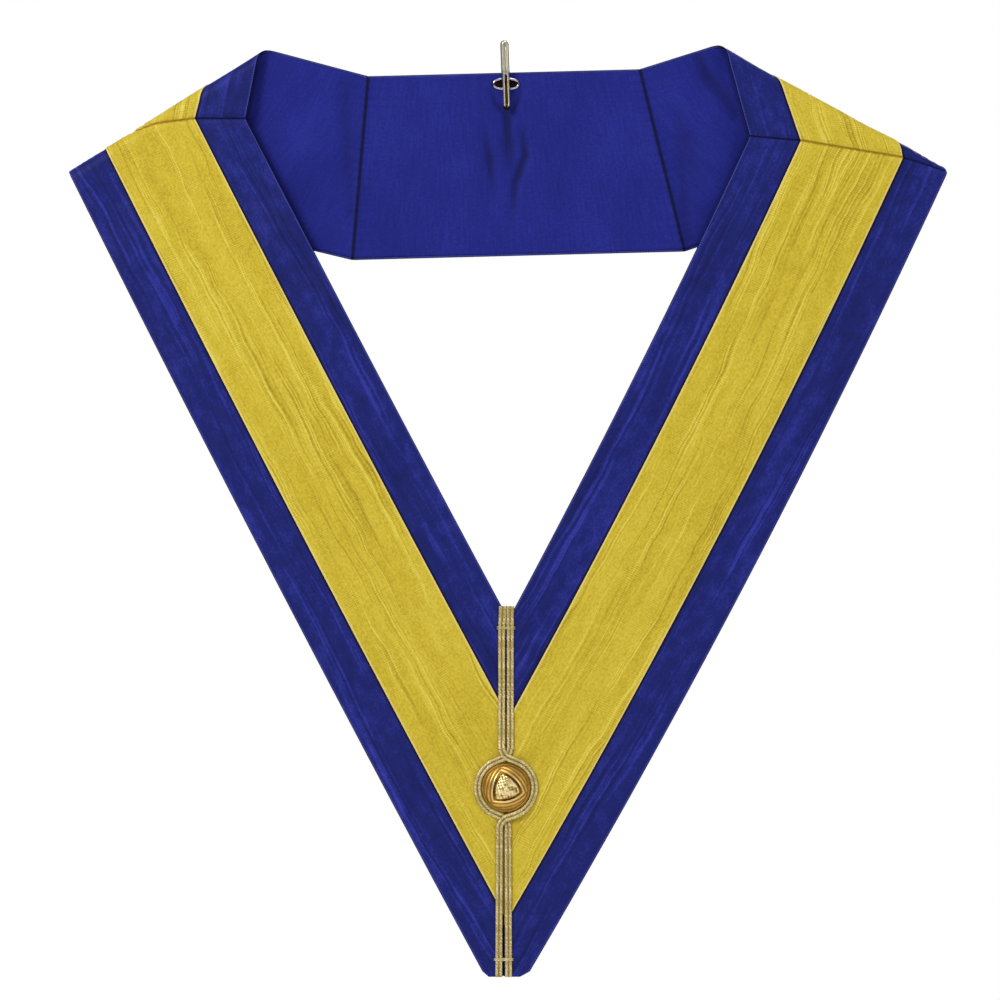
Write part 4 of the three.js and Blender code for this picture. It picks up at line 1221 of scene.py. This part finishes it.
def thread_bar(name, depth):
    """Threads across both cords at a depth."""
    spots = [flat[np.argmin(abs(flat[:, 1] - depth))] for flat in (braid_way(-1)[0], braid_way(1)[0])]
    middles = sorted(spot[0] for spot in spots)
    ends = (middles[0] - BRAID_WIDTH / 2 - TACK_OVERHANG, middles[1] + BRAID_WIDTH / 2 + TACK_OVERHANG)
    top = BRAID_THICKNESS + TACK_THREAD / 4
    climb = TACK_OVERHANG * TACK_RUN
    beside = top * TACK_SHOULDER
    lifts = [
        (ends[0], -TACK_THREAD / 2), (ends[0] + climb, beside), (middles[0], top),
        (sum(middles) / 2, BRAID_THICKNESS * TACK_DIP),
        (middles[1], top), (ends[1] - climb, beside), (ends[1], -TACK_THREAD / 2),
    ]
    line = smooth_line(lifts, TACK_THREAD / 2)
    points = []
    faces = []
    far, fast, moved = TACK_WAVER
    for turn in TACK_TURNS:
        z = -depth + turn + far * np.sin(line[:, 0] * fast + turn * moved)
        way = on_cloth(line[:, 0], z, cloth_face(depth) + line[:, 1])
        run = unit(np.gradient(way, axis=0))
        across = np.broadcast_to([0.0, 0.0, 1.0], run.shape)
        out = unit(np.cross(across, run))
        ring = swept_points(way, across, out, circle(TACK_THREAD / 2, ROUND_SIDES))
        faces += [[index + len(points) for index in face] for face in swept_faces(len(way), ROUND_SIDES)]
        points += ring.reshape(-1, 3).tolist()
    made = closed_object(name, points, faces)
    attach(made.data, "wound", np.tile([*TACK_WOUND, depth], (len(points), 1)))
    return made


for place, depth in zip(("neck", "tip"), TACK_DEPTHS):
    made = thread_bar("thread_bar_" + place, depth)
    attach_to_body(made, BODY)
    made.data.materials.append(gold_thread)
    print(made.name, len(made.data.polygons), "faces")

# %% [markdown]
# The button is stamped from thin brass and gilded: a dome with a raised knot of three bowed sides,
# each side followed outwards by more strands, and a hatched triangle in the middle. It is made as a
# height over a round grid, so every strand is real relief, and the height is kept for the shader.

# %% Relief of the button
BUTTON_RIM = 1.6
BUTTON_LEDGE = 1.2
BUTTON_HEIGHT = 6.2
KNOT_WIRE = 1.5
KNOT_PROUD = 0.75
KNOT_CORNER = 10.2
KNOT_SIDE = 7.4
KNOT_STEP = 1.9
KNOT_TURN = 46
KNOT_FOLDS = 3
PILLOW_INSET = 1.35
PILLOW_EDGE = 0.9
HATCH_STEP = 1.7
HATCH_DEPTH = 0.3
HATCH_LEAN = 0.3
STRAND_FADE = 0.12  # how softly the strands of one side end where the next side's begin
OUTER_STRANDS = ((1, 0.55), (2, 0.35))  # steps outwards and height of the strands that follow a side
KNOT_FADE = 0.5  # millimetres inside the ledge
RIM_SINK = 0.5
TINY = 1e-6  # keeps a division by the radius safe in the middle
BUTTON_RINGS = 110
BUTTON_SECTORS = 300

DOME_BASE = BUTTON_DIAMETER / 2 - BUTTON_LEDGE
DOME_RISE = BUTTON_HEIGHT - BUTTON_RIM
DOME_RADIUS = (DOME_BASE ** 2 + DOME_RISE ** 2) / (2 * DOME_RISE)
HALF_SIDE = KNOT_CORNER * math.sin(math.pi / KNOT_FOLDS)
BOW = KNOT_SIDE - KNOT_CORNER * math.cos(math.pi / KNOT_FOLDS)
SIDE_RADIUS = (HALF_SIDE ** 2 + BOW ** 2) / (2 * BOW)
CENTRE_AWAY = SIDE_RADIUS - KNOT_SIDE


def strand(distance, wire):
    """The round back of a strand at distances from its middle."""
    return np.sqrt(np.clip(1 - (distance / (wire / 2)) ** 2, 0, 1))


def knot(x, z):
    """The relief of the knot at places from the button's middle, and its pillow, both from 0 to 1."""
    radius = np.hypot(x, z) + TINY
    sides = [math.radians(KNOT_TURN) + TURN * fold / KNOT_FOLDS for fold in range(KNOT_FOLDS)]
    away = np.stack([
        np.hypot(x + CENTRE_AWAY * math.cos(side), z + CENTRE_AWAY * math.sin(side)) for side in sides
    ])
    facing = np.stack([(x * math.cos(side) + z * math.sin(side)) / radius for side in sides])
    farthest = away.max(0)
    relief = strand(farthest - SIDE_RADIUS, KNOT_WIRE)
    one_way = np.sin(math.pi * (x + HATCH_LEAN * z) / HATCH_STEP)
    other_way = np.sin(math.pi * (z - HATCH_LEAN * x) / HATCH_STEP)
    hatch = np.sqrt(abs(one_way * other_way))
    pillow = smooth((SIDE_RADIUS - PILLOW_INSET - farthest) / PILLOW_EDGE)
    relief = np.maximum(relief, pillow * (1 - HATCH_DEPTH + HATCH_DEPTH * hatch))
    for step, tall in OUTER_STRANDS:
        ring = SIDE_RADIUS + step * KNOT_STEP
        for distance, ahead in zip(away, facing):
            own = smooth((ahead - math.cos(math.pi / KNOT_FOLDS)) / STRAND_FADE)
            relief = np.maximum(relief, tall * own * strand(distance - ring, KNOT_WIRE))
    return relief * smooth((DOME_BASE - radius) / KNOT_FADE), pillow


def button_height(radius):
    """The height of the plain dome, its ledge and its rolled rim."""
    dome = BUTTON_HEIGHT - DOME_RADIUS + np.sqrt(np.maximum(DOME_RADIUS ** 2 - radius ** 2, 0))
    past = radius - (DOME_BASE + BUTTON_LEDGE / 2)
    rolled = BUTTON_RIM - RIM_SINK + np.sqrt(np.clip((BUTTON_LEDGE / 2) ** 2 - past ** 2, 0, None))
    return np.where(radius < DOME_BASE, dome, rolled)


print("sides of the knot have a radius of", round(SIDE_RADIUS, 1), "mm")

# %% [markdown]
# The grid of that height is closed behind by three more rings: the turned-in edge of the rim, the seat
# and a last one that is nearly a point.

# %% Button
BUTTON_SEAT = 0.05
BUTTON_MIDDLE = 0.02  # radius of the first ring
BUTTON_BACK = ((0.985, 0.55), (0.96, 0.0), (0.0015, 0.0))  # share of the reach and height of each ring


def button_object():
    """The button, standing on the yellow ribbon."""
    reach = BUTTON_DIAMETER / 2
    radius = np.linspace(BUTTON_MIDDLE, reach, BUTTON_RINGS)[:, None]
    angle = np.linspace(0, TURN, BUTTON_SECTORS, endpoint=False)[None, :]
    x = radius * np.cos(angle)
    z = radius * np.sin(angle)
    relief, pillow = knot(x, z)
    level = button_height(radius) + KNOT_PROUD * relief
    rings = [np.stack([x, z, level], -1)]
    for share, down in BUTTON_BACK:
        rings.append(np.stack([x[-1:] * share, z[-1:] * share, np.full_like(x[-1:], down)], -1))
    local = np.concatenate(rings)
    plain = np.zeros((len(BUTTON_BACK), BUTTON_SECTORS))
    worn = np.concatenate([relief, plain])
    cushion = np.concatenate([pillow, plain])
    from_middle = np.concatenate([np.broadcast_to(radius / reach, relief.shape), plain + 1])
    base = float(on_cloth(np.array(0.0), np.array(-BUTTON_DEPTH), YELLOW_FACE + BUTTON_SEAT)[1])
    place = np.stack([
        local[..., 0], base - FRONT_SLOPE * local[..., 1] - local[..., 2], local[..., 1] - BUTTON_DEPTH,
    ], -1)
    faces = swept_faces(len(place), BUTTON_SECTORS)
    made = closed_object("button_stamping", place.reshape(-1, 3), faces)
    attach(made.data, "stamped", np.stack([worn, from_middle, cushion], -1))
    return made


print("button is", BUTTON_DIAMETER, "mm wide and", BUTTON_HEIGHT, "mm high")

# %% [markdown]
# Gilt is a thin layer of gold on brass. On the strands, where fingers and cloth polish it, it is pale and
# bright; in the valleys it keeps a brown tarnish, and near the rim the brass shows through with a
# coppery tone. Nickel plate is a cooler grey and wears to brass in the groove of the neck bar.

# %% Gilt and nickel
GILT_CLOUD = 420.0  # patches in a metre, so each is about 2.4 mm wide
NICKEL_CLOUD = 130.0  # about 7.7 mm
GILT_STOPS = ((0.15, "#2A1604"), (0.5, "#9A6C24"), (0.8, "#D2A650"), (1.0, "#EED69C"))
COPPER_STOPS = ((0.1, "#A87C34"), (1.0, "#DCB662"))
HATCH_STOPS = ((0.55, "#6E5220"), (0.74, "#C4A45C"), (0.95, "#F4E4AC"))
COPPER_SHARE = (0.5, 0.72, 0.0, 0.85)  # from and to of a value, and what it becomes at each
GILT_ROUGH = (0.2, 1.2, 0.5, 0.32)
NICKEL_WORN = (0.3, 0.8, 0.0, 1.0)
GILT_CLOUDED = 0.5  # how much the cloud counts beside the relief
HATCH_CLOUDED = 0.7
HATCH_DARK = 0.65
NICKEL_CLOUDED = 0.4


def stamped_gilt():
    """Gilt brass, bright on its relief and brown in its valleys."""
    made, tree, shader = finish("gilt_stamped_brass", {"Roughness": 0.24, "Metallic": 1.0})
    _, relief, from_middle, cushion = numbers_of(tree, "stamped")
    where = add(tree, "TexCoord").outputs["Object"]
    cloud = add(tree, "TexNoise", {"Vector": where, "Scale": GILT_CLOUD, "Detail": 3.0})
    level = add(tree, "Math", [cloud, GILT_CLOUDED, relief], **TIMES_PLUS)
    tone = add(tree, "ValToRGB", [level], stops=GILT_STOPS)
    share = add(tree, "MapRange", [from_middle, *COPPER_SHARE], **EASED)
    coppery = add(tree, "ValToRGB", [level], stops=COPPER_STOPS)
    copper = add(tree, "Mix", {0: share, 6: tone, 7: coppery}, data_type="RGBA").outputs[2]
    lowered = add(tree, "Math", [level, -HATCH_DARK], operation="ADD")
    hatch_level = add(tree, "Math", [cloud, HATCH_CLOUDED, lowered], **TIMES_PLUS)
    hatched = add(tree, "ValToRGB", [hatch_level], stops=HATCH_STOPS)
    gilded = add(tree, "Mix", {0: cushion, 6: copper, 7: hatched}, data_type="RGBA").outputs[2]
    tree.links.new(gilded, shader.inputs["Base Color"])
    rough = add(tree, "MapRange", [level, *GILT_ROUGH], **EASED)
    tree.links.new(rough.outputs[0], shader.inputs["Roughness"])
    return made


def plated_nickel(name, plate, brass, dull, roughness):
    """Nickel plate on brass, which shows in worn places, darkened where the mesh's second number asks: at the
    foot of the bar, and on the ring between its painted highlights.
    """
    made, tree, shader = finish(name, {"Roughness": roughness, "Metallic": 1.0})
    _, groove, end, _ = numbers_of(tree, "stamped")
    where = add(tree, "TexCoord").outputs["Object"]
    cloud = add(tree, "TexNoise", {"Vector": where, "Scale": NICKEL_CLOUD, "Detail": 1.0})
    level = add(tree, "Math", [cloud, NICKEL_CLOUDED, groove], **TIMES_PLUS)
    worn = add(tree, "MapRange", [level, *NICKEL_WORN], **EASED)
    tone = add(tree, "Mix", {0: worn, 6: linear(plate), 7: linear(brass)}, data_type="RGBA").outputs[2]
    ended = add(tree, "Mix", {0: end, 6: tone, 7: linear(dull)}, data_type="RGBA").outputs[2]
    tree.links.new(ended, shader.inputs["Base Color"])
    return made


gilt = stamped_gilt()
bar_nickel = plated_nickel("nickel_plated_bar", "#C4BFAC", "#5E4612", "#1E1B12", 0.3)
ring_nickel = plated_nickel("nickel_plated_ring", "#D4D8E6", "#5E4612", "#1E1B12", 0.14)
made = dress(button_object(), gilt, ["button"])
print(made.name, len(made.data.polygons), "faces")

# %% [markdown]
# The neck fitting is an oval ring set in the lining, with a bar in front of it that the collar hangs
# by. Inside the ring is a dark dish of painted shade for its hole. The ring is a round wire carried
# round an oval, with painted highlights in four places: its colour is darkened between them.

# %% Ring of the eyelet
EYELET_LENGTH = 14.8
EYELET_HEIGHT = 6.8
EYELET_WIRE = 1.25
EYELET_GLINT_TURN = 0.87  # radians, where its four painted highlights start
EYELET_SQUARE = 0.86  # 1 for a plain oval, less for rounder ends
EYELET_SEAT = 0.8  # share of the wire's radius that stands off the lining
EYELET_GLINT_SHADE = (0.8, 0.15, 0.9)  # the most that the colour is darkened between the painted highlights, and how that falls off round the ring
RING_STEPS = 96
WIRE_SIDES = 16
LINING_SKIN = LINING_LIFT - LINING_THICKNESS / 2


def oval(turn, inset):
    """Places round the eyelet's oval, so far in from its outer edge."""
    x = np.sign(np.cos(turn)) * abs(np.cos(turn)) ** EYELET_SQUARE
    z = np.sign(np.sin(turn)) * abs(np.sin(turn)) ** EYELET_SQUARE
    return (EYELET_LENGTH / 2 - inset) * x, (EYELET_HEIGHT / 2 - inset) * z


def ring_object():
    """The oval ring of the eyelet."""
    turn = np.linspace(0, TURN, RING_STEPS, endpoint=False)
    radius = EYELET_WIRE / 2
    x, z = oval(turn, radius)
    y = creased(CREASES, x, z) + LINING_SKIN - radius * EYELET_SEAT
    out = unit(np.stack([np.cos(turn) * EYELET_HEIGHT, 0 * turn, np.sin(turn) * EYELET_LENGTH], -1))
    back = np.broadcast_to([0.0, 1.0, 0.0], out.shape)
    points = swept_points(np.stack([x, y, z], -1), out, back, circle(radius, WIRE_SIDES))
    faces = swept_faces(RING_STEPS, WIRE_SIDES, True)
    made = closed_object("eyelet_ring", points.reshape(-1, 3), faces)
    # painted highlights: the colour is darkened round the ring except in four places, which stand for its
    # reflections
    most, level, fall = EYELET_GLINT_SHADE
    dull = np.repeat(most * smooth(level - fall * np.cos(4 * (turn - EYELET_GLINT_TURN))), WIRE_SIDES)
    attach(made.data, "stamped", np.stack([0 * dull, dull, 0 * dull], -1))
    return made


dress(ring_object(), ring_nickel, ["eyelet"])
print("eyelet is", EYELET_LENGTH, "x", EYELET_HEIGHT, "mm")

# %% [markdown]
# The bar is round above the band and has a groove down its front, which is why it shows two bright
# rails. It is wider above than below, and its ends are domed. Its post and its foot behind the band
# are turned round one axis, from a list of radii and depths.

# %% Bar with its post and foot
HOOK_LENGTH = 38
HOOK_BELOW = 14.6
HOOK_TILT = 2
HOOK_WIDE = 2.42  # half widths above the band and below its edge
HOOK_SLIM = 1.92
HOOK_WAIST = 5.5  # height of the change
HOOK_CHANGE = 3  # length of the change
HOOK_ROUNDNESS = 0.85  # depth for its width
HOOK_DEPTH = -6.2
HOOK_STEPS = 120
HOOK_SIDES = 56
HOOK_END = 0.0004  # square of the share of its width that the very end keeps
GROOVE_WIDTH = 0.34  # share of the half width
GROOVE_DEEP = (0.2, 0.5)  # share of the half width, and how much more below the band's edge
GROOVE_WORN = (0.3, 0.7)  # how worn it is, and how much more below the band's edge
GROOVE_RUN = 4  # from an end of the bar to where the groove is full
BELOW_RUN = 2
DARK_FOOT = (3.2, 1.6)  # height at which the darkened foot of the bar ends, and how softly
POST_SIDES = 40
POST_REACH = 1.5
FOOT_REACH = 4.5
FOOT_LEVELS = (  # radius, and depth behind the ribbon's face
    (POST_REACH, 0), (FOOT_REACH - 0.3, 0), (FOOT_REACH, 0.35), (FOOT_REACH, 0.8), (FOOT_REACH - 0.4, 1.2),
    (0.02, 1.45),
)


def bar_object():
    """The grooved bar, with its post and foot."""
    along = np.linspace(0, HOOK_LENGTH, HOOK_STEPS)
    change = smooth((along - HOOK_BELOW - HOOK_WAIST) / HOOK_CHANGE + 0.5)
    half = HOOK_SLIM + (HOOK_WIDE - HOOK_SLIM) * change
    end = np.minimum(along, HOOK_LENGTH - along)
    half = (half * np.sqrt(np.clip(1 - (1 - np.minimum(end / half, 1)) ** 2, HOOK_END, 1)))[:, None]
    tilt = math.radians(HOOK_TILT)
    up = np.array([-math.sin(tilt), 0, math.cos(tilt)])
    across = np.array([math.cos(tilt), 0, math.sin(tilt)])
    out = np.array([0.0, -1.0, 0.0])
    way = np.array([0, HOOK_DEPTH, 0]) + (along - HOOK_BELOW)[:, None] * up

    angle = np.linspace(0, TURN, HOOK_SIDES, endpoint=False)
    side = np.cos(angle)[None, :]
    groove = np.exp(-((side / GROOVE_WIDTH) ** 2)) * np.clip(np.sin(angle), 0, 1)[None, :]
    below = smooth((HOOK_BELOW + HOOK_WAIST - along) / BELOW_RUN)[:, None]
    run = smooth(end / GROOVE_RUN)[:, None]
    deep = run * (GROOVE_DEEP[0] + GROOVE_DEEP[1] * below)
    proud = np.sin(angle)[None, :] * HOOK_ROUNDNESS - groove * deep
    points = swept_points(way, across[None, :], out[None, :], np.stack([side * half, proud * half], -1))
    dull = smooth((DARK_FOOT[0] - along) / DARK_FOOT[1])[:, None] + 0 * groove
    worn = np.stack([groove * (GROOVE_WORN[0] + GROOVE_WORN[1] * below) * run, dull, 0 * dull], -1)

    levels = [(POST_REACH, HOOK_DEPTH), *[(radius, BLUE_FACE + depth) for radius, depth in FOOT_LEVELS]]
    turn = np.linspace(0, TURN, POST_SIDES, endpoint=False)
    rings = [
        np.stack([radius * np.cos(turn), np.full(POST_SIDES, depth), radius * np.sin(turn)], -1)
        for radius, depth in levels
    ]
    first = HOOK_STEPS * HOOK_SIDES
    faces = swept_faces(HOOK_STEPS, HOOK_SIDES)
    faces += [[index + first for index in face] for face in swept_faces(len(levels), POST_SIDES)]
    made = closed_object("neck_fitting", np.vstack([points.reshape(-1, 3), *rings]), faces)
    plain = np.zeros((len(levels) * POST_SIDES, 3))
    attach(made.data, "stamped", np.vstack([worn.reshape(-1, 3), plain]))
    return made


dress(bar_object(), bar_nickel, ["neck_hook"])
print("bar from", -HOOK_BELOW, "to", HOOK_LENGTH - HOOK_BELOW, "mm high")

# %% [markdown]
# Inside the ring a shallow dark dish stands in for the shade of the hole, as painted shade. It rises
# under the ring and reaches a little past it, and its dark red-black colour changes in small specks.

# %% Painted shade in the hole
# the first ring reaches past the wire, as painted shadow round it
HOLE_RINGS = ((1.14, 0.08), (1.0, 0.35), (0.93, 0.15), (0.7, 0.06), (0.4, 0.04), (0.01, 0.04))
HOLE_THICKNESS = 0.1
HOLE_SPECKS = 900.0  # patches in a metre
HOLE_SHADE_STOPS = ((0.3, "#0A0508"), (0.7, "#2A0E10"))


def hole_object():
    """A shallow dark dish inside the ring, painted shade for its hole."""
    turn = np.linspace(0, TURN, RING_STEPS, endpoint=False)
    rings = []
    for share, lift in HOLE_RINGS:
        x, z = [share * value for value in oval(turn, EYELET_WIRE / 2)]
        rings.append(np.stack([x, creased(CREASES, x, z) + LINING_SKIN - lift, z], -1))
    points = np.concatenate(rings)
    faces = grid_faces(len(rings), RING_STEPS, False, True).tolist()
    faces.append(list(range((len(rings) - 1) * RING_STEPS, len(rings) * RING_STEPS)))
    made = mesh_object("eyelet_hole", points, faces)
    thick = made.modifiers.new("thread thickness", "SOLIDIFY")
    thick.thickness = HOLE_THICKNESS * METRES
    return made


hole_shade_material, hole_tree, hole_shader = finish(
    "dark_worked_thread", {"Roughness": 0.85, "IOR": CLOTH_IOR, "Specular IOR Level": 0.04},
)
where = add(hole_tree, "TexCoord").outputs["Object"]
hole_speck = add(hole_tree, "TexNoise", {"Vector": where, "Scale": HOLE_SPECKS, "Detail": 2.0})
hole_shade_colour = add(hole_tree, "ValToRGB", [hole_speck], stops=HOLE_SHADE_STOPS)
hole_tree.links.new(hole_shade_colour.outputs[0], hole_shader.inputs["Base Color"])

made = hole_object()
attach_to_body(made, BODY)
made.data.materials.append(hole_shade_material)
print("hole has", len(made.data.polygons), "faces")
